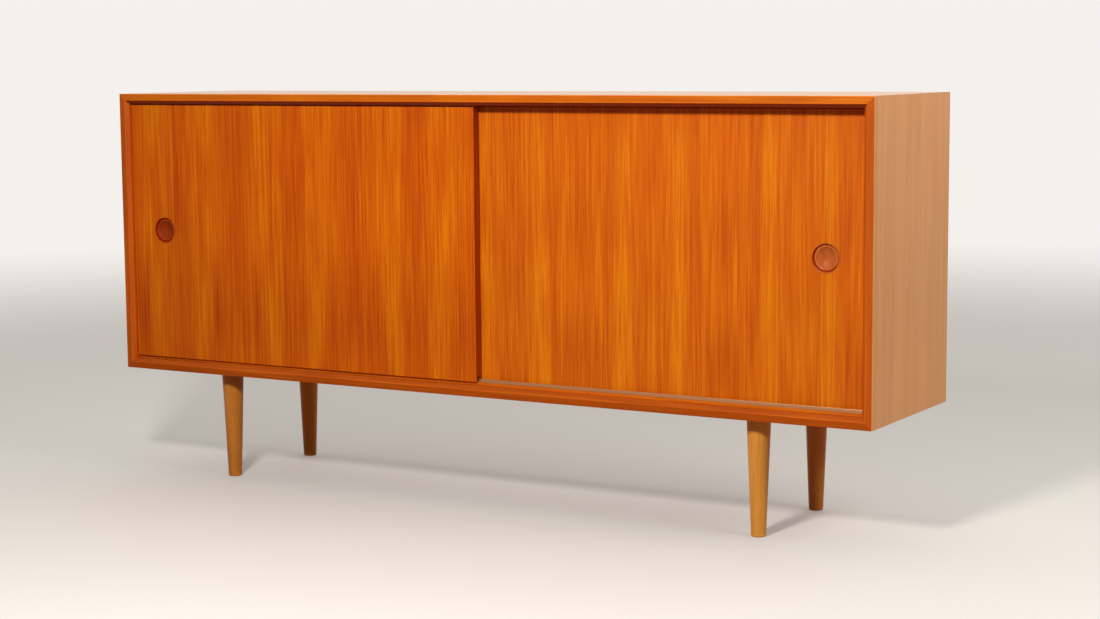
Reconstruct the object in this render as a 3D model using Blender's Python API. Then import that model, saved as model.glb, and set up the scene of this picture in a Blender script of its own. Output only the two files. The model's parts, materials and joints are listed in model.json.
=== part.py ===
"""A low sideboard: a mitred veneered case with two sliding doors, on four turned legs.

X runs along the length with the right-hand end at +X, the doors face -Y and Z is up. The origin lies on
the floor under the middle of the case. All values are in metres.
"""

import math

import bmesh
import bpy
from mathutils import Matrix, Vector

MM = 0.001

# The case
CASE_WIDTH = 1634 * MM
CASE_HEIGHT = 560 * MM
CASE_DEPTH = 357 * MM
BOARD = 20 * MM

# The solid edging round the front of the case: a flat face, then a slope that runs inwards and back
EDGING_DEPTH = 12 * MM
EDGING_FLAT = 13 * MM
EDGING_SLOPE_DEPTH = 6 * MM
EDGING_ROUNDING = 0.8 * MM

# The back panel, screwed into a rebate
BACK_THICKNESS = 6 * MM
BACK_INSET = 2 * MM
BACK_REBATE = 8 * MM
BACK_EDGE_PLAY = 0.5 * MM

# The legs
LEG_HEIGHT = 214 * MM
LEG_TOP_RADIUS = 21.7 * MM
LEG_FOOT_RADIUS = 13.3 * MM
LEG_FOOT_ROUNDING = 2 * MM
LEG_FROM_END = 232 * MM
LEG_FROM_FRONT = 53 * MM
LEG_FROM_BACK = 51 * MM

# The bolt that joins a leg to the flanged nut let into the case floor
BOLT_RADIUS = 4 * MM
BOLT_IN_LEG = 40 * MM
NUT_BARREL_RADIUS = 5.6 * MM
NUT_BARREL_LENGTH = 13 * MM
NUT_FLANGE_RADIUS = 11 * MM
NUT_FLANGE_THICKNESS = 1.5 * MM
NUT_BELOW_FLOOR = 0.5 * MM

# The doors
DOOR_THICKNESS = 18 * MM
DOOR_RUNNING_GAP = 3 * MM
DOOR_SIDE_GAP = 1 * MM
DOOR_OVERLAP = 50.6 * MM
DOOR_ABOVE_RAIL_BASE = 0.8 * MM
DOOR_TOP_GAP = 2.5 * MM
DOOR_ROUNDING = 0.5 * MM

# The tongue along a door's top edge and its groove in the top panel
TONGUE_THICKNESS = 6 * MM
TONGUE_REACH = 8 * MM
TONGUE_SIDE_PLAY = 0.75 * MM
TONGUE_END_PLAY = 2 * MM

# The rails on the case floor: a teak base with a metal blade let into it
RAIL_BASE_WIDTH = 8 * MM
RAIL_BASE_HEIGHT = 5.2 * MM
RAIL_END_GAP = 1 * MM
BLADE_THICKNESS = 3 * MM
BLADE_ABOVE_BASE = 6.3 * MM
BLADE_IN_BASE = 3 * MM

# The plastic glides in a door's bottom groove, which straddle the blade
GLIDE_LENGTH = 30 * MM
GLIDE_BODY = 3.9 * MM
GLIDE_CHEEK_DROP = 2.6 * MM
GLIDE_CHEEK = 1.9 * MM
GLIDE_FROM_DOOR_END = 60 * MM

# The turned finger pulls
PULL_RADIUS = 25.6 * MM
PULL_RIM_WIDTH = 3 * MM
PULL_RIM_PROUD = 0.4 * MM
PULL_BODY_DEPTH = 13 * MM
PULL_WALL_DEPTH = 5 * MM
PULL_DISH_RADIUS = 19 * MM
PULL_DISH_DEPTH = 8.5 * MM
PULL_BACK_TAPER = 1.5 * MM
PULL_FROM_DOOR_EDGE = 78.5 * MM
PULL_ABOVE_CASE_BASE = 285 * MM

# The divider, its dowels, the shelves and their pins
DIVIDER_THICKNESS = 20 * MM
DIVIDER_BEHIND_DOOR = 4 * MM
DOWEL_RADIUS = 4 * MM
DOWEL_LENGTH = 30 * MM
DOWEL_IN_BOARD = 12 * MM
DOWEL_FROM_DIVIDER_END = 60 * MM
SHELF_THICKNESS = 18 * MM
SHELF_ABOVE_FLOOR = 250 * MM
SHELF_SETBACK = 20 * MM
SHELF_BACK_PLAY = 2 * MM
PIN_RADIUS = 2.5 * MM
PIN_IN_BOARD = 7.5 * MM
PIN_COLLAR_RADIUS = 4 * MM
PIN_COLLAR_THICKNESS = 1.2 * MM
PIN_REACH = 9 * MM
PIN_FROM_SHELF_EDGE = 45 * MM
PIN_HOLE_PITCH = 32 * MM
PIN_HOLES_EACH_WAY = 1

# The back panel's screws
SCREW_RADIUS = 1.5 * MM
SCREW_HEAD_RADIUS = 3 * MM
SCREW_HEAD_DEPTH = 2 * MM
SCREW_LENGTH = 16 * MM
SCREW_POINT = 3 * MM
SCREWS_PER_LONG_EDGE = 4

# Fits and edges shared by all pieces
SEAT_GAP = 0.3 * MM
SOFTENED_EDGE = 0.6 * MM
END_CHAMFER = 0.8 * MM
CUT_OVERRUN = 4 * MM

# How finely round shapes are cut into flats
PULL_STEPS = 48
ROUND_STEPS = 24
SMALL_ROUND_STEPS = 12
ROUNDING_STEPS = 3
DISH_STEPS = 4
BEVEL_STEPS = 2
SMOOTH_BELOW = math.radians(35)
BEVEL_ABOVE = math.radians(60)

# Places that follow from the sizes above
FRONT = -CASE_DEPTH / 2
REAR = CASE_DEPTH / 2
CASE_MIDDLE = LEG_HEIGHT + CASE_HEIGHT / 2
FLOOR = LEG_HEIGHT + BOARD
CEILING = LEG_HEIGHT + CASE_HEIGHT - BOARD
INSIDE_HALF = CASE_WIDTH / 2 - BOARD
REBATE_DEPTH = BACK_THICKNESS + BACK_INSET
BACK_FRONT_FACE = REAR - REBATE_DEPTH + SEAT_GAP
DOOR_WIDTH = INSIDE_HALF - DOOR_SIDE_GAP + DOOR_OVERLAP / 2
DOOR_CENTRE_X = (INSIDE_HALF - DOOR_SIDE_GAP - DOOR_OVERLAP / 2) / 2
DOOR_BASE = FLOOR + RAIL_BASE_HEIGHT + DOOR_ABOVE_RAIL_BASE
DOOR_SHOULDER = CEILING - DOOR_TOP_GAP - DOOR_BASE
DOOR_TONGUE_TOP = CEILING + TONGUE_REACH - DOOR_BASE
FRONT_DOOR_Y = FRONT + EDGING_DEPTH + DOOR_THICKNESS / 2
REAR_DOOR_Y = FRONT_DOOR_Y + DOOR_THICKNESS + DOOR_RUNNING_GAP
BLADE_TOP = FLOOR + RAIL_BASE_HEIGHT + BLADE_ABOVE_BASE
GLIDE_UNDERSIDE = BLADE_TOP + SEAT_GAP
DOOR_GROOVE_ROOF = GLIDE_UNDERSIDE + GLIDE_BODY + SEAT_GAP - DOOR_BASE
GLIDE_WIDTH = BLADE_THICKNESS + 2 * (SEAT_GAP + GLIDE_CHEEK)
DOOR_GROOVE_WIDTH = GLIDE_WIDTH + 2 * SEAT_GAP
DIVIDER_FRONT = REAR_DOOR_Y + DOOR_THICKNESS / 2 + DIVIDER_BEHIND_DOOR
DIVIDER_BACK = BACK_FRONT_FACE - SEAT_GAP
SHELF_FRONT = DIVIDER_FRONT + SHELF_SETBACK
SHELF_BACK = BACK_FRONT_FACE - SHELF_BACK_PLAY
SHELF_BASE = FLOOR + SHELF_ABOVE_FLOOR
SHELF_SIDE_PLAY = PIN_COLLAR_THICKNESS + SEAT_GAP
PIN_LEVEL = SHELF_BASE - SEAT_GAP - PIN_RADIUS

FACING_FRONT = Matrix.Rotation(math.radians(90), 4, "X")
FACING_REAR = Matrix.Rotation(math.radians(-90), 4, "X")
FACING_RIGHT = Matrix.Rotation(math.radians(90), 4, "Y")
FACING_LEFT = Matrix.Rotation(math.radians(-90), 4, "Y")


def finish(name, colour, roughness, metallic=0.0):
    """A plain finish: one colour, roughness and metallic value on a Principled shader."""
    material = bpy.data.materials.new(name)
    material.use_nodes = True
    shader = material.node_tree.nodes["Principled BSDF"]
    shader.inputs["Base Color"].default_value = (*colour, 1.0)
    shader.inputs["Roughness"].default_value = roughness
    shader.inputs["Metallic"].default_value = metallic
    return material


def solid(name, mesh_data, material, parent=None, place=None, smooth=False):
    """The finished object of a bmesh, with its faces turned outwards."""
    bmesh.ops.recalc_face_normals(mesh_data, faces=mesh_data.faces)
    mesh = bpy.data.meshes.new(name)
    mesh_data.to_mesh(mesh)
    mesh_data.free()
    if material:
        mesh.materials.append(material)
    if smooth:
        mesh.shade_smooth()
        mesh.set_sharp_from_angle(angle=SMOOTH_BELOW)
    piece = bpy.data.objects.new(name, mesh)
    bpy.context.scene.collection.objects.link(piece)
    piece.parent = parent
    if place is not None:
        piece.matrix_local = place
    return piece


def drill(piece, tool):
    """Takes a cutter's shape away from the piece."""
    cut = piece.modifiers.new(tool.name, "BOOLEAN")
    cut.operation = "DIFFERENCE"
    cut.solver = "EXACT"
    cut.object = tool


def cutter(name, mesh_data):
    """A shape that only cuts others."""
    shape = solid(name, mesh_data, None)
    shape.hide_render = True
    shape.display_type = "WIRE"
    return shape


def soften(piece, width):
    """Rounds the long arrises of a flat piece."""
    bevel = piece.modifiers.new("softened edges", "BEVEL")
    bevel.width = width
    bevel.segments = BEVEL_STEPS
    bevel.limit_method = "ANGLE"
    bevel.angle_limit = BEVEL_ABOVE


def block(low, high):
    """A rectangular block between two corners."""
    shape = bmesh.new()
    size = Vector(high) - Vector(low)
    middle = (Vector(high) + Vector(low)) / 2
    place = Matrix.Translation(middle) @ Matrix.Diagonal((*size, 1))
    bmesh.ops.create_cube(shape, size=1, matrix=place)
    return shape


def extrusion(outline, low_x, high_x):
    """A closed outline of (y, z) points carried along X."""
    shape = bmesh.new()
    face = shape.faces.new([shape.verts.new((low_x, y, z)) for y, z in outline])
    grown = bmesh.ops.extrude_face_region(shape, geom=[face])
    moved = [item for item in grown["geom"] if isinstance(item, bmesh.types.BMVert)]
    bmesh.ops.translate(shape, verts=moved, vec=(high_x - low_x, 0, 0))
    return shape


def add_turned(shape, profile, steps, place, ring=False):
    """Adds a round solid turned about local Z from (radius, height) points.

    The profile starts and ends on the axis, or goes round a ring's section without meeting the axis.
    """
    earlier = set(shape.verts)
    points = [shape.verts.new((radius, 0, height)) for radius, height in profile]
    pairs = list(zip(points, points[1:]))
    if ring:
        pairs.append((points[-1], points[0]))
    edges = [shape.edges.new(pair) for pair in pairs]
    bmesh.ops.spin(
        shape,
        geom=points + edges,
        cent=(0, 0, 0),
        axis=(0, 0, 1),
        angle=math.tau,
        steps=steps,
        use_merge=True,
    )
    added = [vert for vert in shape.verts if vert not in earlier]
    bmesh.ops.remove_doubles(shape, verts=added, dist=MM / 1000)
    added = [vert for vert in shape.verts if vert not in earlier]
    bmesh.ops.transform(shape, verts=added, matrix=place)


def turned(profile, steps=ROUND_STEPS, ring=False):
    """One round solid turned about local Z."""
    shape = bmesh.new()
    add_turned(shape, profile, steps, Matrix(), ring)
    return shape


def round_holes(profile, places, steps=SMALL_ROUND_STEPS):
    """The same turned shape at several places, as one cutting shape."""
    shape = bmesh.new()
    for place in places:
        add_turned(shape, profile, steps, place)
    return shape


def arc(centre, radius, start, end, steps):
    """Points along an arc from one angle to another, in degrees."""
    turns = [start + (end - start) * step / steps for step in range(steps + 1)]
    return [
        (
            centre[0] + radius * math.cos(math.radians(turn)),
            centre[1] + radius * math.sin(math.radians(turn)),
        )
        for turn in turns
    ]


def at(x, y, z, turn=None):
    """A place, with an optional turn."""
    return Matrix.Translation((x, y, z)) @ (turn or Matrix())


def mitred_bar(outline, side):
    """One side of the mitred case: an outline of (inwards, behind) points with both ends cut at 45 degrees.

    Inwards is measured from the case's outer face and behind from its front. The two cut ends of
    neighbouring bars stay one seat gap apart.
    """
    cut_back = SEAT_GAP / math.sqrt(2)
    ends = []
    shape = bmesh.new()
    for end in (-1, 1):
        corners = []
        for inwards, behind in outline:
            across = CASE_WIDTH / 2 - inwards
            up = CASE_HEIGHT / 2 - inwards
            if side in ("top", "bottom"):
                x = end * (across - cut_back)
                z = up if side == "top" else -up
            else:
                x = across if side == "right" else -across
                z = end * (up - cut_back)
            corners.append(shape.verts.new((x, FRONT + behind, CASE_MIDDLE + z)))
        shape.faces.new(corners)
        ends.append(corners)
    first, second = ends
    for near, far in zip(range(-1, len(outline) - 1), range(len(outline))):
        shape.faces.new((first[near], first[far], second[far], second[near]))
    return shape


def edging_outline():
    """The edging's section: rounded outer arris, flat face, slope, inner face, back face."""
    corner = arc((EDGING_ROUNDING, EDGING_ROUNDING), EDGING_ROUNDING, 180, 270, ROUNDING_STEPS)
    return [
        *corner,
        (EDGING_FLAT, 0),
        (BOARD, EDGING_SLOPE_DEPTH),
        (BOARD, EDGING_DEPTH),
        (0, EDGING_DEPTH),
    ]


def board_outline(grooves=()):
    """A case board's section, with the rebate for the back and any grooves on its inner face."""
    inner_face = [(BOARD, EDGING_DEPTH + SEAT_GAP)]
    for middle, width, depth in grooves:
        near = middle - FRONT - width / 2
        far = middle - FRONT + width / 2
        inner_face += [(BOARD, near), (BOARD - depth, near), (BOARD - depth, far), (BOARD, far)]
    rebate_start = CASE_DEPTH - REBATE_DEPTH
    return [
        (0, EDGING_DEPTH + SEAT_GAP),
        *inner_face,
        (BOARD, rebate_start),
        (BOARD - BACK_REBATE, rebate_start),
        (BOARD - BACK_REBATE, CASE_DEPTH),
        (0, CASE_DEPTH),
    ]


def build_case(veneer, edging):
    """The four mitred boards and the four lengths of edging in front of them."""
    groove_width = TONGUE_THICKNESS + 2 * TONGUE_SIDE_PLAY
    groove_depth = TONGUE_REACH + TONGUE_END_PLAY
    door_grooves = [(y, groove_width, groove_depth) for y in (FRONT_DOOR_Y, REAR_DOOR_Y)]
    names = {
        "top": "top_panel",
        "bottom": "bottom_panel",
        "left": "left_side_panel",
        "right": "right_side_panel",
    }
    boards = {}
    for side, name in names.items():
        outline = board_outline(door_grooves if side == "top" else ())
        boards[side] = solid(name, mitred_bar(outline, side), veneer)
        solid(f"{side}_front_edging", mitred_bar(edging_outline(), side), edging)
    return boards


def build_back(veneer, steel, boards):
    """The back panel in its rebate, and its countersunk screws."""
    half_width = INSIDE_HALF + BACK_REBATE - BACK_EDGE_PLAY
    half_height = CASE_HEIGHT / 2 - BOARD + BACK_REBATE - BACK_EDGE_PLAY
    low = (-half_width, BACK_FRONT_FACE, CASE_MIDDLE - half_height)
    high = (half_width, BACK_FRONT_FACE + BACK_THICKNESS, CASE_MIDDLE + half_height)
    panel = solid("back_panel", block(low, high), veneer)

    rear_face = BACK_FRONT_FACE + BACK_THICKNESS
    beyond_inside = BACK_REBATE / 2
    places = {}
    for row, height in (("top", CEILING + beyond_inside), ("bottom", FLOOR - beyond_inside)):
        for count in range(SCREWS_PER_LONG_EDGE):
            share = (count + 0.5) / SCREWS_PER_LONG_EDGE - 0.5
            places[f"back_screw_{row}_{count + 1}"] = (2 * INSIDE_HALF * share, height)
    places["back_screw_left"] = (-INSIDE_HALF - beyond_inside, CASE_MIDDLE)
    places["back_screw_right"] = (INSIDE_HALF + beyond_inside, CASE_MIDDLE)

    screw = [
        (0, -SCREW_LENGTH),
        (SCREW_RADIUS, SCREW_POINT - SCREW_LENGTH),
        (SCREW_RADIUS, -SCREW_HEAD_DEPTH),
        (SCREW_HEAD_RADIUS, 0),
        (0, 0),
    ]
    hole = [
        (0, -SCREW_LENGTH - SEAT_GAP),
        (SCREW_RADIUS + SEAT_GAP, -SCREW_LENGTH - SEAT_GAP),
        (SCREW_RADIUS + SEAT_GAP, -SCREW_HEAD_DEPTH),
        (SCREW_HEAD_RADIUS + SEAT_GAP, 0),
        (SCREW_HEAD_RADIUS + SEAT_GAP, CUT_OVERRUN),
        (0, CUT_OVERRUN),
    ]
    spots = {name: at(x, rear_face, z, FACING_REAR) for name, (x, z) in places.items()}
    holes = cutter("back_screw_holes", round_holes(hole, spots.values()))
    for target in (panel, *boards.values()):
        drill(target, holes)
    for name, spot in spots.items():
        solid(name, turned(screw, SMALL_ROUND_STEPS), steel, place=spot, smooth=True)


def build_legs(oak, steel, floor_board):
    """The four turned legs, each with its bolt and the flanged nut that holds it."""
    nut_top = FLOOR - NUT_BELOW_FLOOR
    leg_top = LEG_HEIGHT - SEAT_GAP
    bolt_hole = BOLT_RADIUS + SEAT_GAP
    foot_centre = (LEG_FOOT_RADIUS - LEG_FOOT_ROUNDING, LEG_FOOT_ROUNDING)
    foot = arc(foot_centre, LEG_FOOT_ROUNDING, 270, 360, ROUNDING_STEPS)
    leg = [
        (0, 0),
        *foot,
        (LEG_TOP_RADIUS, leg_top),
        (bolt_hole, leg_top),
        (bolt_hole, leg_top - BOLT_IN_LEG),
        (0, leg_top - BOLT_IN_LEG),
    ]
    bolt_low = leg_top - BOLT_IN_LEG + SEAT_GAP
    bolt = [
        (0, bolt_low),
        (BOLT_RADIUS - END_CHAMFER, bolt_low),
        (BOLT_RADIUS, bolt_low + END_CHAMFER),
        (BOLT_RADIUS, nut_top - END_CHAMFER),
        (BOLT_RADIUS - END_CHAMFER, nut_top),
        (0, nut_top),
    ]
    nut = [
        (bolt_hole, nut_top),
        (NUT_FLANGE_RADIUS, nut_top),
        (NUT_FLANGE_RADIUS, nut_top - NUT_FLANGE_THICKNESS),
        (NUT_BARREL_RADIUS, nut_top - NUT_FLANGE_THICKNESS),
        (NUT_BARREL_RADIUS, nut_top - NUT_BARREL_LENGTH),
        (bolt_hole, nut_top - NUT_BARREL_LENGTH),
    ]
    flange_seat = nut_top - NUT_FLANGE_THICKNESS - SEAT_GAP
    nut_hole = [
        (0, LEG_HEIGHT - CUT_OVERRUN),
        (NUT_BARREL_RADIUS + SEAT_GAP, LEG_HEIGHT - CUT_OVERRUN),
        (NUT_BARREL_RADIUS + SEAT_GAP, flange_seat),
        (NUT_FLANGE_RADIUS + SEAT_GAP, flange_seat),
        (NUT_FLANGE_RADIUS + SEAT_GAP, FLOOR + CUT_OVERRUN),
        (0, FLOOR + CUT_OVERRUN),
    ]
    leg_x = CASE_WIDTH / 2 - LEG_FROM_END
    spots = {}
    for end, x in (("left", -leg_x), ("right", leg_x)):
        spots[f"front_{end}"] = at(x, FRONT + LEG_FROM_FRONT, 0)
        spots[f"back_{end}"] = at(x, REAR - LEG_FROM_BACK, 0)
    drill(floor_board, cutter("leg_nut_holes", round_holes(nut_hole, spots.values())))
    for corner, spot in spots.items():
        solid(f"leg_{corner}", turned(leg), oak, place=spot, smooth=True)
        solid(f"leg_bolt_{corner}", turned(bolt, SMALL_ROUND_STEPS), steel, place=spot, smooth=True)
        ring = turned(nut, SMALL_ROUND_STEPS, ring=True)
        solid(f"leg_nut_{corner}", ring, steel, place=spot, smooth=True)


def build_rails(teak, aluminium):
    """The two rails on the case floor, one under each door."""
    half_length = INSIDE_HALF - RAIL_END_GAP
    base_low = FLOOR + SEAT_GAP
    base_top = FLOOR + RAIL_BASE_HEIGHT
    slot_floor = base_top - BLADE_IN_BASE - SEAT_GAP
    half_base = RAIL_BASE_WIDTH / 2
    half_slot = BLADE_THICKNESS / 2 + SEAT_GAP
    for row, y in (("front", FRONT_DOOR_Y), ("rear", REAR_DOOR_Y)):
        base = [
            (y - half_base, base_low),
            (y + half_base, base_low),
            (y + half_base, base_top),
            (y + half_slot, base_top),
            (y + half_slot, slot_floor),
            (y - half_slot, slot_floor),
            (y - half_slot, base_top),
            (y - half_base, base_top),
        ]
        solid(f"{row}_rail_base", extrusion(base, -half_length, half_length), teak)
        low = (-half_length, y - BLADE_THICKNESS / 2, base_top - BLADE_IN_BASE)
        high = (half_length, y + BLADE_THICKNESS / 2, BLADE_TOP)
        blade = solid(f"{row}_rail_blade", block(low, high), aluminium)
        soften(blade, SOFTENED_EDGE)


def door_outline():
    """A door's section about its middle plane: bottom groove, shoulders and top tongue."""
    half_door = DOOR_THICKNESS / 2
    half_groove = DOOR_GROOVE_WIDTH / 2
    half_tongue = TONGUE_THICKNESS / 2
    return [
        (-half_door, 0),
        (-half_groove, 0),
        (-half_groove, DOOR_GROOVE_ROOF),
        (half_groove, DOOR_GROOVE_ROOF),
        (half_groove, 0),
        (half_door, 0),
        (half_door, DOOR_SHOULDER),
        (half_tongue, DOOR_SHOULDER),
        (half_tongue, DOOR_TONGUE_TOP),
        (-half_tongue, DOOR_TONGUE_TOP),
        (-half_tongue, DOOR_SHOULDER),
        (-half_door, DOOR_SHOULDER),
    ]


def pull_profile():
    """The finger pull turned about its own axis, with its rim in the door's face at height 0."""
    wall = PULL_RADIUS - PULL_RIM_WIDTH
    half_rim = PULL_RIM_WIDTH / 2
    half_round = arc((PULL_RADIUS - half_rim, 0), half_rim, 0, 180, ROUNDING_STEPS)
    rim = [(radius, height * PULL_RIM_PROUD / half_rim) for radius, height in half_round]
    dish = []
    for step in range(DISH_STEPS + 1):
        share = 1 - step / DISH_STEPS
        sink = PULL_DISH_DEPTH - (PULL_DISH_DEPTH - PULL_WALL_DEPTH) * share**2
        dish.append((PULL_DISH_RADIUS * share, -sink))
    return [
        (0, -PULL_BODY_DEPTH),
        (PULL_RADIUS - PULL_BACK_TAPER, -PULL_BODY_DEPTH),
        *rim,
        (wall - PULL_BACK_TAPER, -PULL_WALL_DEPTH),
        *dish,
    ]


def build_door(name, outward, y, materials):
    """One door with its finger pull and two glides, hung on an empty on its rail.

    Outward is -1 for the door that shuts against the left side of the case, 1 for the right.
    """
    veneer, turned_teak, plastic = materials
    carriage = bpy.data.objects.new(f"{name}_slide", None)
    bpy.context.scene.collection.objects.link(carriage)
    carriage.location = (outward * DOOR_CENTRE_X, y, DOOR_BASE)

    board = extrusion(door_outline(), -DOOR_WIDTH / 2, DOOR_WIDTH / 2)
    panel = solid(f"{name}_panel", board, veneer, carriage)
    soften(panel, DOOR_ROUNDING)

    pull_x = outward * (DOOR_WIDTH / 2 - PULL_FROM_DOOR_EDGE)
    pull_z = LEG_HEIGHT + PULL_ABOVE_CASE_BASE - DOOR_BASE
    pull_place = at(pull_x, -DOOR_THICKNESS / 2, pull_z, FACING_FRONT)
    seat = [
        (0, -PULL_BODY_DEPTH - SEAT_GAP),
        (PULL_RADIUS + SEAT_GAP, -PULL_BODY_DEPTH - SEAT_GAP),
        (PULL_RADIUS + SEAT_GAP, CUT_OVERRUN),
        (0, CUT_OVERRUN),
    ]
    recess = cutter(f"{name}_pull_recess", turned(seat, PULL_STEPS))
    recess.parent = carriage
    recess.matrix_local = pull_place
    drill(panel, recess)
    pull = turned(pull_profile(), PULL_STEPS)
    solid(f"{name}_finger_pull", pull, turned_teak, carriage, pull_place, smooth=True)

    half_width = GLIDE_WIDTH / 2
    half_slot = BLADE_THICKNESS / 2 + SEAT_GAP
    slot_roof = GLIDE_UNDERSIDE - DOOR_BASE
    section = [
        (-half_width, slot_roof - GLIDE_CHEEK_DROP),
        (-half_slot, slot_roof - GLIDE_CHEEK_DROP),
        (-half_slot, slot_roof),
        (half_slot, slot_roof),
        (half_slot, slot_roof - GLIDE_CHEEK_DROP),
        (half_width, slot_roof - GLIDE_CHEEK_DROP),
        (half_width, slot_roof + GLIDE_BODY),
        (-half_width, slot_roof + GLIDE_BODY),
    ]
    for end, side in (("left", -1), ("right", 1)):
        middle = side * (DOOR_WIDTH / 2 - GLIDE_FROM_DOOR_END)
        glide = extrusion(section, middle - GLIDE_LENGTH / 2, middle + GLIDE_LENGTH / 2)
        solid(f"{name}_glide_{end}", glide, plastic, carriage)


def build_divider(veneer, hardwood, boards):
    """The upright between the two bays, held by dowels in the floor and the top."""
    half = DIVIDER_THICKNESS / 2
    low = (-half, DIVIDER_FRONT, FLOOR + SEAT_GAP)
    high = (half, DIVIDER_BACK, CEILING - SEAT_GAP)
    divider = solid("centre_divider", block(low, high), veneer)

    dowel = [
        (0, 0),
        (DOWEL_RADIUS - END_CHAMFER, 0),
        (DOWEL_RADIUS, END_CHAMFER),
        (DOWEL_RADIUS, DOWEL_LENGTH - END_CHAMFER),
        (DOWEL_RADIUS - END_CHAMFER, DOWEL_LENGTH),
        (0, DOWEL_LENGTH),
    ]
    hole_radius = DOWEL_RADIUS + SEAT_GAP
    hole = [
        (0, -SEAT_GAP),
        (hole_radius, -SEAT_GAP),
        (hole_radius, DOWEL_LENGTH + SEAT_GAP),
        (0, DOWEL_LENGTH + SEAT_GAP),
    ]
    dowel_ys = {
        "front": DIVIDER_FRONT + DOWEL_FROM_DIVIDER_END,
        "back": DIVIDER_BACK - DOWEL_FROM_DIVIDER_END,
    }
    spots = {}
    for end, y in dowel_ys.items():
        spots[f"divider_dowel_bottom_{end}"] = at(0, y, FLOOR - DOWEL_IN_BOARD)
        spots[f"divider_dowel_top_{end}"] = at(0, y, CEILING + DOWEL_IN_BOARD - DOWEL_LENGTH)
    holes = cutter("divider_dowel_holes", round_holes(hole, spots.values()))
    for target in (divider, boards["top"], boards["bottom"]):
        drill(target, holes)
    for name, spot in spots.items():
        solid(name, turned(dowel, SMALL_ROUND_STEPS), hardwood, place=spot, smooth=True)
    return divider


def build_shelves(veneer, brass, boards, divider):
    """An adjustable shelf in each bay, on four pins, with spare pin holes above and below."""
    pin_ys = {"front": SHELF_FRONT + PIN_FROM_SHELF_EDGE, "back": SHELF_BACK - PIN_FROM_SHELF_EDGE}
    pin = [
        (0, -PIN_IN_BOARD),
        (PIN_RADIUS, -PIN_IN_BOARD),
        (PIN_RADIUS, SEAT_GAP),
        (PIN_COLLAR_RADIUS, SEAT_GAP),
        (PIN_COLLAR_RADIUS, PIN_COLLAR_THICKNESS),
        (PIN_RADIUS, PIN_COLLAR_THICKNESS),
        (PIN_RADIUS, PIN_REACH),
        (0, PIN_REACH),
    ]
    hole = [
        (0, -PIN_IN_BOARD - SEAT_GAP),
        (PIN_RADIUS + SEAT_GAP, -PIN_IN_BOARD - SEAT_GAP),
        (PIN_RADIUS + SEAT_GAP, CUT_OVERRUN),
        (0, CUT_OVERRUN),
    ]
    steps = range(-PIN_HOLES_EACH_WAY, PIN_HOLES_EACH_WAY + 1)
    half_divider = DIVIDER_THICKNESS / 2
    for bay, outward in (("left", -1), ("right", 1)):
        inner = outward * (half_divider + SHELF_SIDE_PLAY)
        outer = outward * (INSIDE_HALF - SHELF_SIDE_PLAY)
        shelf_low = (min(inner, outer), SHELF_FRONT, SHELF_BASE)
        shelf_high = (max(inner, outer), SHELF_BACK, SHELF_BASE + SHELF_THICKNESS)
        shelf = solid(f"{bay}_shelf", block(shelf_low, shelf_high), veneer)
        soften(shelf, SOFTENED_EDGE)
        walls = (
            ("outer", outward * INSIDE_HALF, -outward, boards[bay]),
            ("inner", outward * half_divider, outward, divider),
        )
        for wall, x, faces, target in walls:
            turn = FACING_RIGHT if faces > 0 else FACING_LEFT
            spots = [
                at(x, y, PIN_LEVEL + step * PIN_HOLE_PITCH, turn)
                for y in pin_ys.values()
                for step in steps
            ]
            drill(target, cutter(f"{bay}_{wall}_pin_holes", round_holes(hole, spots)))
            for end, y in pin_ys.items():
                name = f"{bay}_shelf_pin_{wall}_{end}"
                place = at(x, y, PIN_LEVEL, turn)
                solid(name, turned(pin, SMALL_ROUND_STEPS), brass, place=place, smooth=True)


def main():
    for leftover in list(bpy.data.objects):
        bpy.data.objects.remove(leftover)

    teak_veneer = finish("teak_veneer", (0.52, 0.16, 0.03), 0.42)
    teak_edging = finish("teak_edging", (0.58, 0.20, 0.04), 0.40)
    turned_teak = finish("turned_teak", (0.36, 0.09, 0.03), 0.38)
    back_veneer = finish("back_veneer", (0.45, 0.20, 0.08), 0.55)
    oak = finish("oak", (0.58, 0.33, 0.10), 0.45)
    beech = finish("beech", (0.60, 0.38, 0.20), 0.60)
    aluminium = finish("aluminium", (0.42, 0.20, 0.08), 0.40, 1.0)
    steel = finish("zinc_steel", (0.55, 0.55, 0.56), 0.35, 1.0)
    brass = finish("brass", (0.60, 0.44, 0.16), 0.30, 1.0)
    plastic = finish("glide_plastic", (0.70, 0.68, 0.62), 0.45)

    boards = build_case(teak_veneer, teak_edging)
    build_back(back_veneer, steel, boards)
    build_legs(oak, steel, boards["bottom"])
    build_rails(teak_edging, aluminium)
    door_finishes = (teak_veneer, turned_teak, plastic)
    build_door("left_door", -1, FRONT_DOOR_Y, door_finishes)
    build_door("right_door", 1, REAR_DOOR_Y, door_finishes)
    divider = build_divider(teak_veneer, beech, boards)
    build_shelves(teak_veneer, brass, boards, divider)


main()
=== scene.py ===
"""A low teak sideboard with two sliding doors, in a pale studio.

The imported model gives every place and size. Its flat boards, rails and glides keep their shape and get their
finish here; the edging, the turned pieces and the metal fittings are made again with a finer surface.
X runs along the sideboard with its right-hand end at +X, the doors face -Y and Z is up, in metres.
"""

import json
import logging
import math
from dataclasses import dataclass, field
from enum import Enum
from typing import Any

import bpy
import numpy as np
from mathutils import Matrix, Vector

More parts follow.
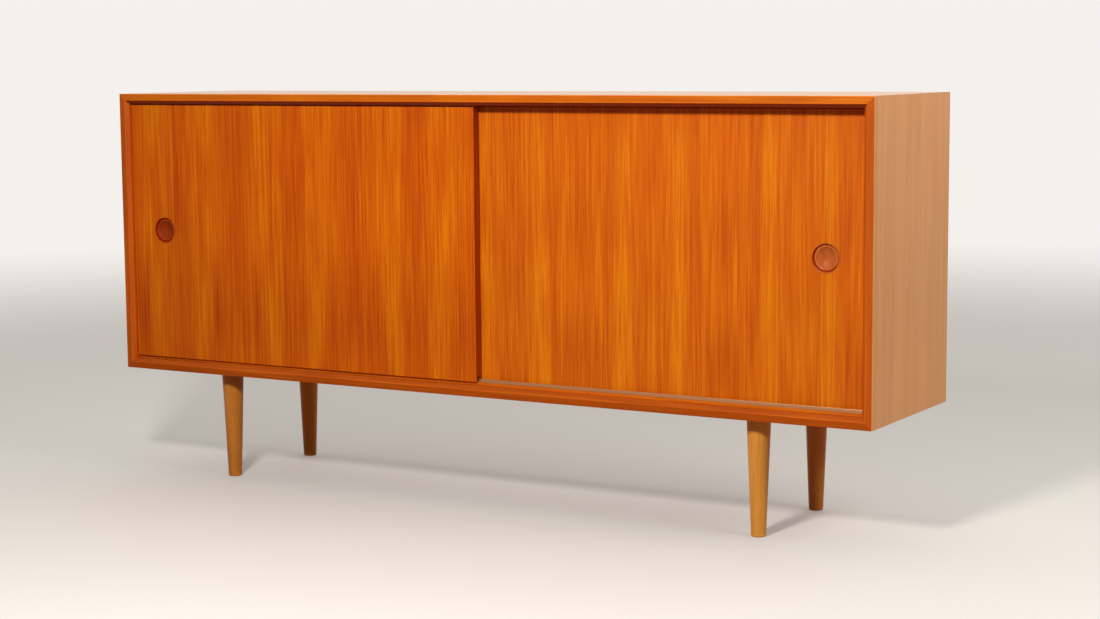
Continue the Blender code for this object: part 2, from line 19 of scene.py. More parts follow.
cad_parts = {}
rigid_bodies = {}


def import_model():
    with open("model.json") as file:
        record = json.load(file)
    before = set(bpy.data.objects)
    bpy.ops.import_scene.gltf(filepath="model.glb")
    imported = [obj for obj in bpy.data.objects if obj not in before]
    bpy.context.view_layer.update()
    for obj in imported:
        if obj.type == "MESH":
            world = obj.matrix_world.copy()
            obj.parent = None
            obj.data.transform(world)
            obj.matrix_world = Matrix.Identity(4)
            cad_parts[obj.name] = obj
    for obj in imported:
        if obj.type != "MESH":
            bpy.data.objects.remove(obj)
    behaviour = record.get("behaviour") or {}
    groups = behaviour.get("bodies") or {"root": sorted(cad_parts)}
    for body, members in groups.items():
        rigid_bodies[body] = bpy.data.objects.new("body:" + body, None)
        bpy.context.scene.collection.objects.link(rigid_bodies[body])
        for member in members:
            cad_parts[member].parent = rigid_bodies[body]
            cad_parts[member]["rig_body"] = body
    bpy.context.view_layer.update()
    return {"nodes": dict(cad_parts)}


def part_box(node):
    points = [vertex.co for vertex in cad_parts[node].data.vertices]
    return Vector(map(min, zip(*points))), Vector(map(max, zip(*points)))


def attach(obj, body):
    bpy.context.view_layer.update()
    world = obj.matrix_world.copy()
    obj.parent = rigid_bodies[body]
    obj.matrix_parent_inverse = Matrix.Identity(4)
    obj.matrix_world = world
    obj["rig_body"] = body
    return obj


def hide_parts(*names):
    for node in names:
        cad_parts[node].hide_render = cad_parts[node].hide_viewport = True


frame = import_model()

Tree = bpy.types.NodeTree
Node = bpy.types.Node
Socket = bpy.types.NodeSocket
Triple = tuple[float, float, float]
# A dark, a middle and a light tone
Tones = tuple[str, str, str]

MM = 0.001
# Faces that meet at a smaller angle are shaded as one
SMOOTH_BELOW = math.radians(32)
# The range that holds most of a noise's values
USUAL = {"From Min": 0.3, "From Max": 0.7}
# The setting with which a change from one range to another eases in and out
EASED = {"interpolation_type": "SMOOTHSTEP"}
LOG = logging.getLogger("sideboard")


class Axis(Enum):
    """A direction in the model."""

    X = 0
    Y = 1
    Z = 2


class Side(Enum):
    """A side of the case, as seen from the front."""

    TOP = "top"
    BOTTOM = "bottom"
    LEFT = "left"
    RIGHT = "right"

    def upright(self) -> bool:
        """Whether the side stands upright."""
        return self in (Side.LEFT, Side.RIGHT)


class Facing(Enum):
    """Which way the axis of a turned piece points, as the turn that takes +Z there."""

    FRONT = Matrix.Rotation(math.radians(90), 4, "X")
    REAR = Matrix.Rotation(math.radians(-90), 4, "X")
    RIGHT = Matrix.Rotation(math.radians(90), 4, "Y")
    LEFT = Matrix.Rotation(math.radians(-90), 4, "Y")


# Colours and nodes


def linear(colour: str) -> tuple[float, float, float, float]:
    """Turns an sRGB hex colour into linear RGBA.

    Each channel c becomes c / 12.92 below 0.04045 and ((c + 0.055) / 1.055) ^ 2.4 above it.

    Args:
        colour: The colour as "#rrggbb".

    Returns:
        The linear red, green and blue, and an alpha of 1.
    """
    channels = np.array([int(colour[start : start + 2], 16) for start in (1, 3, 5)]) / 255
    low, high = channels / 12.92, ((channels + 0.055) / 1.055) ** 2.4
    red, green, blue = np.where(channels <= 0.04045, low, high)
    return (float(red), float(green), float(blue), 1.0)


def add_node(tree: Tree, kind: str, inputs: dict[str | int, Any] | None = None, **settings: Any) -> Node:
    """Adds a node with its settings and links.

    Args:
        tree: The node tree that gets the node.
        kind: The node's type name.
        inputs: Input name or number to a value, or to the output socket that feeds it.
        **settings: The node's own properties.

    Returns:
        The new node.
    """
    node = tree.nodes.new(kind)
    for name, value in settings.items():
        setattr(node, name, value)
    for name, value in (inputs or {}).items():
        if isinstance(value, Socket):
            tree.links.new(value, node.inputs[name])
        else:
            node.inputs[name].default_value = value
    return node


def seen_directly(tree: Tree) -> Socket:
    """Tells the rays that show a thing, from the camera, gloss or glass, from those that only carry light.

    Args:
        tree: The node tree.

    Returns:
        A value socket, 1 for a ray that shows.
    """
    path = add_node(tree, "ShaderNodeLightPath")
    seen = path.outputs["Is Camera Ray"]
    for name in ("Is Glossy Ray", "Is Transmission Ray"):
        inputs = {0: seen, 1: path.outputs[name]}
        seen = add_node(tree, "ShaderNodeMath", inputs, operation="MAXIMUM").outputs[0]
    return seen


def new_material(name: str) -> tuple[bpy.types.Material, Tree, Node]:
    """Makes a material and finds its parts.

    Args:
        name: The material's name.

    Returns:
        The material, its node tree and its Principled shader.
    """
    material = bpy.data.materials.new(name)
    material.use_nodes = True
    tree = material.node_tree
    return material, tree, tree.nodes["Principled BSDF"]


# Finishes


@dataclass(frozen=True)
class Wood:
    """Wood with straight figure: broad bands, streaks, growth lines and pores, all drawn out lengthwise.

    The pattern is solid: it depends on the place across, through and along the board, so that the faces
    and edges of one board agree. The rates are cells per metre across the grain. Each share says how far
    its layer moves the colour along the ramp from dark to light.
    """

    name: str
    along: Axis
    across: Axis
    dark: str
    middle: str
    light: str
    # Bands of light and dark growth, about 45 mm apart, and patches of about 110 mm
    band_rate: float = 22.0
    band_share: float = 0.5
    band_stretch: float = 0.07
    patch_rates: Triple = (9.0, 9.0, 5.0)
    patch_share: float = 0.35
    # Streaks about 8 mm apart
    streak_rate: float = 120.0
    streak_share: float = 0.30
    # Growth lines: really 1 to 3 mm apart, drawn 4 mm apart so that they show
    line_rate: float = 240.0
    line_share: float = 0.30
    # Pores: really 0.2 mm wide, drawn 0.7 mm wide so that they show. One fades into the wood as its noise
    # rises through the range
    pore_rate: float = 1400.0
    pore_range: tuple[float, float] = (0.30, 0.45)
    pore_share: float = 0.10
    pore_relief: float = 0.10
    pore_depth: float = 0.3 * MM
    # Thin dark veins, about 20 mm apart
    vein_rate: float = 48.0
    vein_share: float = 0.14
    vein_width: float = 0.035
    # How much slower the figure changes lengthwise, how far the fibres sway, and the slow change of depth
    stretch: float = 0.035
    sway: float = 8 * MM
    sway_rates: Triple = (9.0, 9.0, 2.2)
    mottle: float = 0.05
    mottle_rates: Triple = (7.0, 7.0, 4.0)
    # Oiled wood has a low satin gloss, far below that of lacquer, a little brighter on hard streaks
    roughness: float = 0.40
    roughness_swing: float = 0.05
    specular: float = 0.12
    # How far worn places and painted highlights make the colour paler
    wear: float = 0.35
    # The leaves of a veneered board, and the light ribbon that each of them has. A noise that rises
    # through the range brings the ribbon from its faintest to its full strength
    leaf_width: float = 0.0
    leaf_shift: float = 0.0
    slice_step: float = 1.5 * MM
    ribbon_place: float = 0.40
    ribbon_half: float = 32 * MM
    ribbon_share: float = 0.0
    ribbon_rates: Triple = (14.0, 60.0, 4.0)
    ribbon_range: tuple[float, float] = (0.35, 0.62)
    ribbon_faintest: float = 0.15
    # The tones of the faces that look one way: paler for daylight fading and painted sheen, darker for darker
    # teak and painted shade.
    # They come in as the cosine of the angle to that way rises through the range
    second_tones: Tones | None = None
    second_towards: Triple = (0.0, 0.0, 1.0)
    second_range: tuple[float, float] = (0.5, 0.85)
    # The board's low side, high side and top, just inside which a pale line is painted: painted highlight of
    # the arrises, with the touch of hands
    rubbed_edges: Triple | None = None
    highlight_width: float = 2.5 * MM
    highlight_strength: float = 0.7
    # The tone of painted shade, where the marks fall below 0
    soaked: str | None = None
    seed: float = 0.0

    def through(self) -> Axis:
        """The axis through the board."""
        return next(axis for axis in Axis if axis not in (self.along, self.across))

    def place(self, tree: Tree) -> Socket:
        """Works out the place in the log that each surface point was cut from.

        A board of sliced veneer is leaves of equal width side by side, every second one turned over, so
        the place across folds back and forth from joint to joint and each leaf lies one slice deeper.
        Slow noise sways the fibres from side to side.

        Args:
            tree: The material's node tree.

        Returns:
            A vector socket: across, through and along, in metres.
        """
        spot = add_node(tree, "ShaderNodeTexCoord").outputs["Object"]
        split = add_node(tree, "ShaderNodeSeparateXYZ", {0: spot})
        across = split.outputs[self.across.value]
        through = split.outputs[self.through().value]
        along = split.outputs[self.along.value]
        if self.leaf_width:
            width = self.leaf_width
            inputs = {0: across, 1: self.leaf_shift}
            moved = add_node(tree, "ShaderNodeMath", inputs, operation="ADD").outputs[0]
            count = add_node(tree, "ShaderNodeMath", {0: moved, 1: width}, operation="DIVIDE").outputs[0]
            leaf = add_node(tree, "ShaderNodeMath", {0: count}, operation="FLOOR").outputs[0]
            across = add_node(tree, "ShaderNodeMath", {0: moved, 1: width}, operation="PINGPONG").outputs[0]
            inputs = {0: leaf, 1: self.slice_step, 2: through}
            through = add_node(tree, "ShaderNodeMath", inputs, operation="MULTIPLY_ADD").outputs[0]
        straight = add_node(tree, "ShaderNodeCombineXYZ", {0: across, 1: through, 2: along}).outputs[0]
        wander = self.noise(tree, straight, self.sway_rates, detail=1.0)
        offset = add_node(tree, "ShaderNodeMath", {0: wander, 1: 0.5}, operation="SUBTRACT").outputs[0]
        inputs = {0: offset, 1: self.sway, 2: across}
        swayed = add_node(tree, "ShaderNodeMath", inputs, operation="MULTIPLY_ADD").outputs[0]
        return add_node(tree, "ShaderNodeCombineXYZ", {0: swayed, 1: through, 2: along}).outputs[0]

    def noise(self, tree: Tree, place: Socket, rates: Triple, detail: float) -> Socket:
        """Draws smooth noise.

        Args:
            tree: The material's node tree.
            place: The place in the log.
            rates: Cells per metre across, through and along.
            detail: How many finer octaves are added.

        Returns:
            A value socket from 0 to 1, mostly near 0.5.
        """
        cells = {"Vector": place, "Scale": rates, "Location": (self.seed, rates[0], self.seed)}
        mapped = add_node(tree, "ShaderNodeMapping", cells).outputs[0]
        inputs = {"Vector": mapped, "Scale": 1.0, "Detail": detail, "Roughness": 0.5}
        return add_node(tree, "ShaderNodeTexNoise", inputs).outputs[0]

    def figure(self, tree: Tree, place: Socket, rate: float, detail: float) -> Socket:
        """Draws noise that is far longer than wide.

        Args:
            tree: The material's node tree.
            place: The place in the log.
            rate: Cells per metre across the grain.
            detail: How many finer octaves are added.

        Returns:
            A value socket from 0 to 1, mostly near 0.5.
        """
        return self.noise(tree, place, (rate, rate, rate * self.stretch), detail)

    def ribbon(self, tree: Tree, place: Socket) -> Socket:
        """Draws the light ribbon that repeats, mirrored, in each leaf, and fades in and out lengthwise.

        Args:
            tree: The material's node tree.
            place: The place in the log.

        Returns:
            A value socket, 1 on the ribbon's middle and 0 beside it.
        """
        across = add_node(tree, "ShaderNodeSeparateXYZ", {0: place}).outputs[0]
        middle = self.ribbon_place * self.leaf_width
        offset = add_node(tree, "ShaderNodeMath", {0: across, 1: middle}, operation="SUBTRACT").outputs[0]
        distance = add_node(tree, "ShaderNodeMath", {0: offset}, operation="ABSOLUTE").outputs[0]
        inputs = {"Value": distance, "From Max": self.ribbon_half, "To Min": 1.0, "To Max": 0.0}
        bell = add_node(tree, "ShaderNodeMapRange", inputs, **EASED).outputs[0]
        low, high = self.ribbon_range
        inputs = {"From Min": low, "From Max": high, "To Min": self.ribbon_faintest}
        inputs["Value"] = self.noise(tree, place, self.ribbon_rates, detail=1.0)
        fade = add_node(tree, "ShaderNodeMapRange", inputs, **EASED).outputs[0]
        return add_node(tree, "ShaderNodeMath", {0: bell, 1: fade}, operation="MULTIPLY").outputs[0]

    def toned(self, tree: Tree, shade: Socket, tones: Tones) -> Socket:
        """Turns a shade from 0 to 1 into a colour.

        Args:
            tree: The material's node tree.
            shade: The value to colour.
            tones: The dark, middle and light tones.

        Returns:
            A colour socket.
        """
        ramp = add_node(tree, "ShaderNodeValToRGB", {0: shade})
        ramp.color_ramp.elements[0].position = 0.1
        ramp.color_ramp.elements[0].color = linear(tones[0])
        ramp.color_ramp.elements[1].position = 0.9
        ramp.color_ramp.elements[1].color = linear(tones[2])
        ramp.color_ramp.elements.new(0.5).color = linear(tones[1])
        return ramp.outputs[0]

    def rubbed(self, tree: Tree) -> Socket:
        """How much paler the wood is where hands and cloths have worn it and where it has painted highlight,
        and, below 0, how much painted shade it has.

        It is the piece's own stored marks, plus a painted highlight line inside the board's two side edges and
        its top edge.

        Args:
            tree: The material's node tree.

        Returns:
            A value socket.
        """
        stored_marks = add_node(tree, "ShaderNodeAttribute", attribute_name="wear").outputs["Fac"]
        if self.rubbed_edges is None:
            return stored_marks
        spot = add_node(tree, "ShaderNodeTexCoord").outputs["Object"]
        split = add_node(tree, "ShaderNodeSeparateXYZ", {0: spot})
        across, along = split.outputs[self.across.value], split.outputs[self.along.value]
        low, high, top = self.rubbed_edges
        left = add_node(tree, "ShaderNodeMath", {0: across, 1: low}, operation="SUBTRACT").outputs[0]
        right = add_node(tree, "ShaderNodeMath", {0: high, 1: across}, operation="SUBTRACT").outputs[0]
        above = add_node(tree, "ShaderNodeMath", {0: top, 1: along}, operation="SUBTRACT").outputs[0]
        nearest = add_node(tree, "ShaderNodeMath", {0: left, 1: right}, operation="MINIMUM").outputs[0]
        nearest = add_node(tree, "ShaderNodeMath", {0: nearest, 1: above}, operation="MINIMUM").outputs[0]
        inputs = {"Value": nearest, "From Max": self.highlight_width, "To Min": self.highlight_strength, "To Max": 0.0}
        line = add_node(tree, "ShaderNodeMapRange", inputs, **EASED).outputs[0]
        return add_node(tree, "ShaderNodeMath", {0: stored_marks, 1: line}, operation="ADD").outputs[0]

    def make(self) -> bpy.types.Material:
        """Builds the material.

        The shade is one half plus each layer's noise less its rest value, times that layer's share. A vein
        is drawn where a noise passes one half. The colour of the shade is multiplied by a slow mottle, and
        made paler at worn places and painted highlights. A face that looks the second way has the second
        tones, and a place with painted shade has the painted shade tone.

        Returns:
            The finished material.
        """
        material, tree, shader = new_material(self.name)
        place = self.place(tree)
        bands = (self.band_rate, self.band_rate, self.band_rate * self.band_stretch)
        streaks = self.figure(tree, place, self.streak_rate, detail=1.0)
        inputs = {"From Min": self.pore_range[0], "From Max": self.pore_range[1]}
        inputs["Value"] = self.figure(tree, place, self.pore_rate, detail=0.0)
        pores = add_node(tree, "ShaderNodeMapRange", inputs, **EASED).outputs[0]
        rings = self.figure(tree, place, self.vein_rate, detail=1.0)
        passing = add_node(tree, "ShaderNodeMath", {0: rings, 1: 0.5}, operation="SUBTRACT").outputs[0]
        passing = add_node(tree, "ShaderNodeMath", {0: passing}, operation="ABSOLUTE").outputs[0]
        inputs = {"Value": passing, "From Max": self.vein_width}
        between_veins = add_node(tree, "ShaderNodeMapRange", inputs, **EASED).outputs[0]
        layers = [
            (self.noise(tree, place, bands, detail=2.0), self.band_share, 0.5),
            (self.noise(tree, place, self.patch_rates, detail=1.0), self.patch_share, 0.5),
            (streaks, self.streak_share, 0.5),
            (self.figure(tree, place, self.line_rate, detail=0.0), self.line_share, 0.5),
            (pores, self.pore_share, 1.0),
            (between_veins, self.vein_share, 0.8),
        ]
        if self.ribbon_share:
            layers.append((self.ribbon(tree, place), self.ribbon_share, 0.2))
        shade: float | Socket = 0.5 - sum(share * rest for _, share, rest in layers)
        for layer, share, _ in layers:
            inputs = {0: layer, 1: share, 2: shade}
            shade = add_node(tree, "ShaderNodeMath", inputs, operation="MULTIPLY_ADD").outputs[0]
        colour = self.toned(tree, shade, (self.dark, self.middle, self.light))
        if self.second_tones:
            normal = add_node(tree, "ShaderNodeNewGeometry").outputs["Normal"]
            inputs = {0: normal, 1: self.second_towards}
            facing = add_node(tree, "ShaderNodeVectorMath", inputs, operation="DOT_PRODUCT").outputs["Value"]
            inputs = {"Value": facing, "From Min": self.second_range[0], "From Max": self.second_range[1]}
            changed = add_node(tree, "ShaderNodeMapRange", inputs, **EASED).outputs[0]
            inputs = {0: changed, 6: colour, 7: self.toned(tree, shade, self.second_tones)}
            colour = add_node(tree, "ShaderNodeMix", inputs, data_type="RGBA").outputs[2]
        rubbed = self.rubbed(tree)
        # Painted shade: where the marks fall below 0, the colour turns towards the painted shade tone
        if self.soaked:
            inputs = {"Value": rubbed, "From Min": -1.0, "From Max": 0.0, "To Min": 1.0, "To Max": 0.0}
            in_shade = add_node(tree, "ShaderNodeMapRange", inputs, **EASED).outputs[0]
            inputs = {0: in_shade, 6: colour, 7: linear(self.soaked)}
            colour = add_node(tree, "ShaderNodeMix", inputs, data_type="RGBA").outputs[2]
        slow = self.noise(tree, place, self.mottle_rates, detail=1.0)
        inputs = {"Value": slow, **USUAL, "To Min": 1 - self.mottle, "To Max": 1 + self.mottle}
        gain = add_node(tree, "ShaderNodeMapRange", inputs, **EASED).outputs[0]
        # Worn places and painted highlights make the colour paler
        pale = add_node(tree, "ShaderNodeMath", {0: rubbed, 1: 0.0}, operation="MAXIMUM").outputs[0]
        inputs = {0: pale, 1: self.wear, 2: gain}
        gain = add_node(tree, "ShaderNodeMath", inputs, operation="MULTIPLY_ADD").outputs[0]
        inputs = {0: colour, "Scale": gain}
        colour = add_node(tree, "ShaderNodeVectorMath", inputs, operation="SCALE").outputs[0]
        tree.links.new(colour, shader.inputs["Base Color"])
        dull, bright = self.roughness + self.roughness_swing, self.roughness - self.roughness_swing
        inputs = {"Value": streaks, **USUAL, "To Min": dull, "To Max": bright}
        sheen = add_node(tree, "ShaderNodeMapRange", inputs, **EASED).outputs[0]
        tree.links.new(sheen, shader.inputs["Roughness"])
        inputs = {"Height": pores, "Strength": self.pore_relief, "Distance": self.pore_depth}
        tree.links.new(add_node(tree, "ShaderNodeBump", inputs).outputs[0], shader.inputs["Normal"])
        shader.inputs["Specular IOR Level"].default_value = self.specular
        return material


def teak_veneer(name: str, along: Axis, across: Axis, **changes: Any) -> Wood:
    """Teak veneer, sliced from a straight log, book matched, sanded and oiled.

    The eye sees an orange satin face with straight thin lines, soft light and dark bands, and a light ribbon
    that comes back mirrored in each leaf. The leaves are 143.5 mm wide. The growth lines are really 1 to 2 mm
    apart and are drawn 3.3 mm apart.

    Args:
        name: The material's name.
        along: The direction of the grain.
        across: The direction across the leaves.
        **changes: The fields of Wood in which this board differs.

    Returns:
        The finish.
    """
    tones = {"dark": "#a63a00", "middle": "#c65b02", "light": "#e08104", "leaf_width": 143.5 * MM}
    bands = {"band_share": 0.54, "patch_share": 0.3, "streak_share": 0.2, "ribbon_share": 0.18}
    lines = {"vein_share": 0.1, "line_rate": 300.0, "line_share": 0.48, "stretch": 0.024, "sway": 5 * MM}
    return Wood(name, along, across, **{**tones, **bands, **lines, **changes})


def solid_teak(name: str, along: Axis, across: Axis, **changes: Any) -> Wood:
    """Solid teak, planed, sanded and oiled: plainer than the veneer, with bands about 17 mm apart.

    Args:
        name: The material's name.
        along: The direction of the grain.
        across: A direction across the grain.
        **changes: The fields of Wood in which this piece differs.

    Returns:
        The finish.
    """
    look = {"dark": "#aa4a02", "middle": "#c05e0a", "light": "#d47616", "band_rate": 60.0, **changes}
    return Wood(name, along, across, **look)


@dataclass(frozen=True)
class Metal:
    """Bare metal, drawn or extruded along one axis, which leaves fine lines that way and a satin gleam.

    The die's lines are really 0.05 mm apart and are drawn 0.4 mm apart.
    """

    name: str
    colour: str
    along: Axis
    roughness: float = 0.35
    smoothest: float = -0.08
    roughest: float = 0.12
    line_rate: float = 2500.0
    line_stretch: float = 100.0
    line_relief: float = 0.1
    line_depth: float = 0.1 * MM

    def make(self) -> bpy.types.Material:
        """Builds the material: one colour, with drawing lines in its roughness and relief.

        Returns:
            The finished material.
        """
        material, tree, shader = new_material(self.name)
        shader.inputs["Base Color"].default_value = linear(self.colour)
        shader.inputs["Metallic"].default_value = 1.0
        scale = [self.line_rate] * 3
        scale[self.along.value] = self.line_rate / self.line_stretch
        spot = add_node(tree, "ShaderNodeTexCoord").outputs["Object"]
        mapped = add_node(tree, "ShaderNodeMapping", {"Vector": spot, "Scale": scale}).outputs[0]
        inputs = {"Vector": mapped, "Scale": 1.0, "Detail": 1.0}
        lines = add_node(tree, "ShaderNodeTexNoise", inputs).outputs[0]
        ends = (self.roughness + self.smoothest, self.roughness + self.roughest)
        inputs = {"Value": lines, "To Min": ends[0], "To Max": ends[1]}
        tree.links.new(add_node(tree, "ShaderNodeMapRange", inputs).outputs[0], shader.inputs["Roughness"])
        inputs = {"Height": lines, "Strength": self.line_relief, "Distance": self.line_depth}
        tree.links.new(add_node(tree, "ShaderNodeBump", inputs).outputs[0], shader.inputs["Normal"])
        return material


@dataclass(frozen=True)
class MouldedPlastic:
    """Moulded polyamide: a matte, slightly grained skin. The 0.1 mm grain of the mould is drawn at 0.6 mm."""

    name: str
    colour: str
    roughness: float = 0.5
    grain_rate: float = 1800.0
    grain_tones: tuple[float, float] = (0.92, 1.05)
    grain_relief: float = 0.1
    grain_depth: float = 0.05 * MM

    def make(self) -> bpy.types.Material:
        """Builds the material: one colour with a fine grain in tone and relief.

        Returns:
            The finished material.
        """
        material, tree, shader = new_material(self.name)
        spot = add_node(tree, "ShaderNodeTexCoord").outputs["Object"]
        inputs = {"Vector": spot, "Scale": self.grain_rate, "Detail": 2.0}
        grain = add_node(tree, "ShaderNodeTexNoise", inputs).outputs[0]
        inputs = {"Value": grain, "To Min": self.grain_tones[0], "To Max": self.grain_tones[1]}
        tone = add_node(tree, "ShaderNodeMapRange", inputs).outputs[0]
        inputs = {0: linear(self.colour)[:3], "Scale": tone}
        colour = add_node(tree, "ShaderNodeVectorMath", inputs, operation="SCALE").outputs[0]
        tree.links.new(colour, shader.inputs["Base Color"])
        inputs = {"Height": grain, "Strength": self.grain_relief, "Distance": self.grain_depth}
        tree.links.new(add_node(tree, "ShaderNodeBump", inputs).outputs[0], shader.inputs["Normal"])
        shader.inputs["Roughness"].default_value = self.roughness
        return material


# Surfaces


def rounded(outline: np.ndarray, radii: list[float], steps: int = 5, closed: bool = True) -> np.ndarray:
    """Rounds the corners of an outline.

    Each corner gives way to the arc that touches both of its sides: the arc's centre lies on the corner's
    bisector, one radius over the sine of half the corner's angle away, and the arc's points are that
    radius from the centre at equal turns between the two points of touch.

    Args:
        outline: Corner points, one row each.
        radii: One radius for each corner; an open outline has none for its two ends.
        steps: How many points each arc gets.
        closed: Whether the last point joins the first.

    Returns:
        The points of the rounded outline.
    """
    corner = outline if closed else outline[1:-1]
    before = (np.roll(outline, 1, axis=0) if closed else outline[:-2]) - corner
    after = (np.roll(outline, -1, axis=0) if closed else outline[2:]) - corner
    before /= np.linalg.norm(before, axis=1, keepdims=True)
    after /= np.linalg.norm(after, axis=1, keepdims=True)
    half = np.arccos(np.clip((before * after).sum(1), -1, 1)) / 2
    bisector = before + after
    bisector /= np.linalg.norm(bisector, axis=1, keepdims=True)
    radius = np.array(radii)
    centre = corner + bisector * (radius / np.sin(half))[:, None]
    reach = (radius / np.tan(half))[:, None]
    start, end = corner + before * reach - centre, corner + after * reach - centre
    sweep = (math.pi - 2 * half)[:, None, None]
    share = np.linspace(0, 1, steps)[None, :, None]
    near, far = np.sin((1 - share) * sweep), np.sin(share * sweep)
    turned = (near * start[:, None] + far * end[:, None]) / np.sin(sweep)
    points = (centre[:, None] + turned).reshape(-1, 2)
    return points if closed else np.vstack([outline[:1], points, outline[-1:]])


def filled(outline: np.ndarray, gap: float, closed: bool = True) -> np.ndarray:
    """Adds points along the long sides of an outline.

    A side of length s is divided into the fewest equal parts that are no longer than the gap.

    Args:
        outline: The outline's points.
        gap: The longest part.
        closed: Whether the last point joins the first.

    Returns:
        The outline with its added points.
    """
    after = np.roll(outline, -1, axis=0)
    start, end = (outline, after) if closed else (outline[:-1], after[:-1])
    parts = np.maximum(np.ceil(np.linalg.norm(end - start, axis=1) / gap - 1e-6), 1).astype(int)
    side = np.repeat(np.arange(len(start)), parts)
    first = np.cumsum(parts) - parts
    share = ((np.arange(len(side)) - first[side]) / parts[side])[:, None]
    points = start[side] * (1 - share) + end[side] * share
    return points if closed else np.vstack([points, outline[-1:]])


def wear_near(points: np.ndarray, corners: np.ndarray, reach: float) -> np.ndarray:
    """How near each point is to a corner: 1 at a corner, falling evenly to 0 at the reach. It places worn
    arrises, painted highlight and painted shade.

    Args:
        points: The outline's points.
        corners: The corners to measure from: worn arrises, and the places of painted highlight and painted
            shade.
        reach: How far the falloff goes.

    Returns:
        One value for each point.
    """
    distance = np.linalg.norm(points[:, None] - corners[None], axis=-1).min(1)
    return np.clip(1 - distance / reach, 0, 1)


def tube_faces(rows: int, columns: int) -> np.ndarray:
    """The quads of a grid that closes on itself along its columns.

    Args:
        rows: Points along the open direction.
        columns: Points around the closed one.

    Returns:
        Four vertex numbers for each quad.
    """
    row, column = np.meshgrid(np.arange(rows - 1), np.arange(columns), indexing="ij")
    beside = (column + 1) % columns
    low, high = row * columns, (row + 1) * columns
    corners = [low + column, low + beside, high + beside, high + column]
    return np.stack(corners, -1).reshape(-1, 4)


def new_piece(
    name: str, points: np.ndarray, faces: list[Any], wear: np.ndarray | None = None, smooth: bool = True
) -> bpy.types.Object:
    """Makes an object of points and faces, with its faces turned outwards.

    Args:
        name: The piece's name.
        points: One row of x, y, z for each vertex.
        faces: The vertex numbers of each face.
        wear: How worn each vertex is, with its painted highlight, up to 1, and its painted shade, down to -1.
        smooth: Whether faces that meet at a small angle are shaded as one.

    Returns:
        The new object, at the origin.
    """
    mesh = bpy.data.meshes.new(name)
    mesh.from_pydata(points.tolist(), [], faces)
    mesh.update()
    if signed_volume(mesh) < 0:
        mesh.flip_normals()
    if wear is not None:
        mesh.attributes.new("wear", "FLOAT", "POINT").data.foreach_set("value", wear.astype(np.float32))
    if smooth:
        mesh.shade_smooth()
        mesh.set_sharp_from_angle(angle=SMOOTH_BELOW)
    piece = bpy.data.objects.new(name, mesh)
    bpy.context.scene.collection.objects.link(piece)
    return piece


def signed_volume(mesh: bpy.types.Mesh) -> float:
    """The volume inside a closed mesh, negative where its faces point inwards.

    It is the sum over all triangles of a . (b x c) / 6.

    Args:
        mesh: The mesh to measure.

    Returns:
        The volume in cubic metres.
    """
    mesh.calc_loop_triangles()
    corners = np.zeros(len(mesh.loop_triangles) * 3, np.int32)
    mesh.loop_triangles.foreach_get("vertices", corners)
    points = np.zeros(len(mesh.vertices) * 3, np.float32)
    mesh.vertices.foreach_get("co", points)
    a, b, c = points.reshape(-1, 3)[corners.reshape(-1, 3)].astype(float).transpose(1, 0, 2)
    return float((a * np.cross(b, c)).sum() / 6)


def lathe(
    name: str,
    profile: np.ndarray,
    place: Matrix,
    steps: int = 64,
    ring: bool = False,
    wear: np.ndarray | None = None,
) -> bpy.types.Object:
    """Turns a profile about its own Z axis.

    A point of radius r and height h goes to (r cos a, r sin a, h) for equal turns a. A plain profile starts
    and ends on the axis, where its first and last point are one vertex each. A ring's profile closes.

    Args:
        name: The piece's name.
        profile: Radius and height of each point, in metres.
        place: Where the axis stands, and how it is turned.
        steps: Points around.
        ring: Whether the profile goes round a ring's section and never meets the axis.
        wear: How worn each point of the profile is, with its painted highlight and painted shade.

    Returns:
        The new object.
    """
    turns = np.arange(steps) * (2 * math.pi / steps)
    body = profile if ring else profile[1:-1]
    radius, height = body[:, :1], body[:, 1:]
    grid = np.stack([radius * np.cos(turns), radius * np.sin(turns), height + 0 * turns], -1).reshape(-1, 3)
    around = np.arange(steps)
    beside = (around + 1) % steps
    last = (len(body) - 1) * steps
    faces = tube_faces(len(body), steps).tolist()
    if ring:
        faces += np.stack([last + around, last + beside, beside, around], -1).tolist()
    else:
        low, high = len(grid), len(grid) + 1
        grid = np.vstack([grid, [[0, 0, profile[0, 1]], [0, 0, profile[-1, 1]]]])
        faces += np.stack([np.full(steps, low), beside, around], -1).tolist()
        faces += np.stack([np.full(steps, high), last + around, last + beside], -1).tolist()
    if wear is not None:
        rows = wear if ring else wear[1:-1]
        wear = np.concatenate([np.repeat(rows, steps), [] if ring else wear[[0, -1]]])
    turn = np.array(place)
    return new_piece(name, grid @ turn[:3, :3].T + turn[:3, 3], faces, wear)


def dress(node: str, material: bpy.types.Material) -> None:
    """Gives a CAD node its finish.

    Args:
        node: The node's name.
        material: Its material.
    """
    piece = frame["nodes"][node]
    piece.data.materials.clear()
    piece.data.materials.append(material)


def seat(piece: bpy.types.Object, node: str, material: bpy.types.Material) -> bpy.types.Object:
    """Puts a finer piece in the place of a CAD node, on the same body.

    Args:
        piece: The new piece.
        node: The node that it stands for.
        material: Its material.

    Returns:
        The piece.
    """
    piece.data.materials.append(material)
    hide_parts(node)
    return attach(piece, frame["nodes"][node]["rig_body"])


# Sub-assemblies

# The paler tones of the case's outsides: partly daylight fading, partly painted sheen of the bright room
FADED_AND_SHEEN_TEAK = ("#c08044", "#cc8c4f", "#d8985b")
# The darker tones of a door's face that looks to the right-hand end: partly darker teak at the edge, partly
# painted shade of the step between the doors
EDGE_SHADE_TEAK = ("#722400", "#8a3200", "#a04004")
# The tone of painted shade on teak, for the slope under the top edging
PAINTED_SHADE_TEAK = "#7b2601"


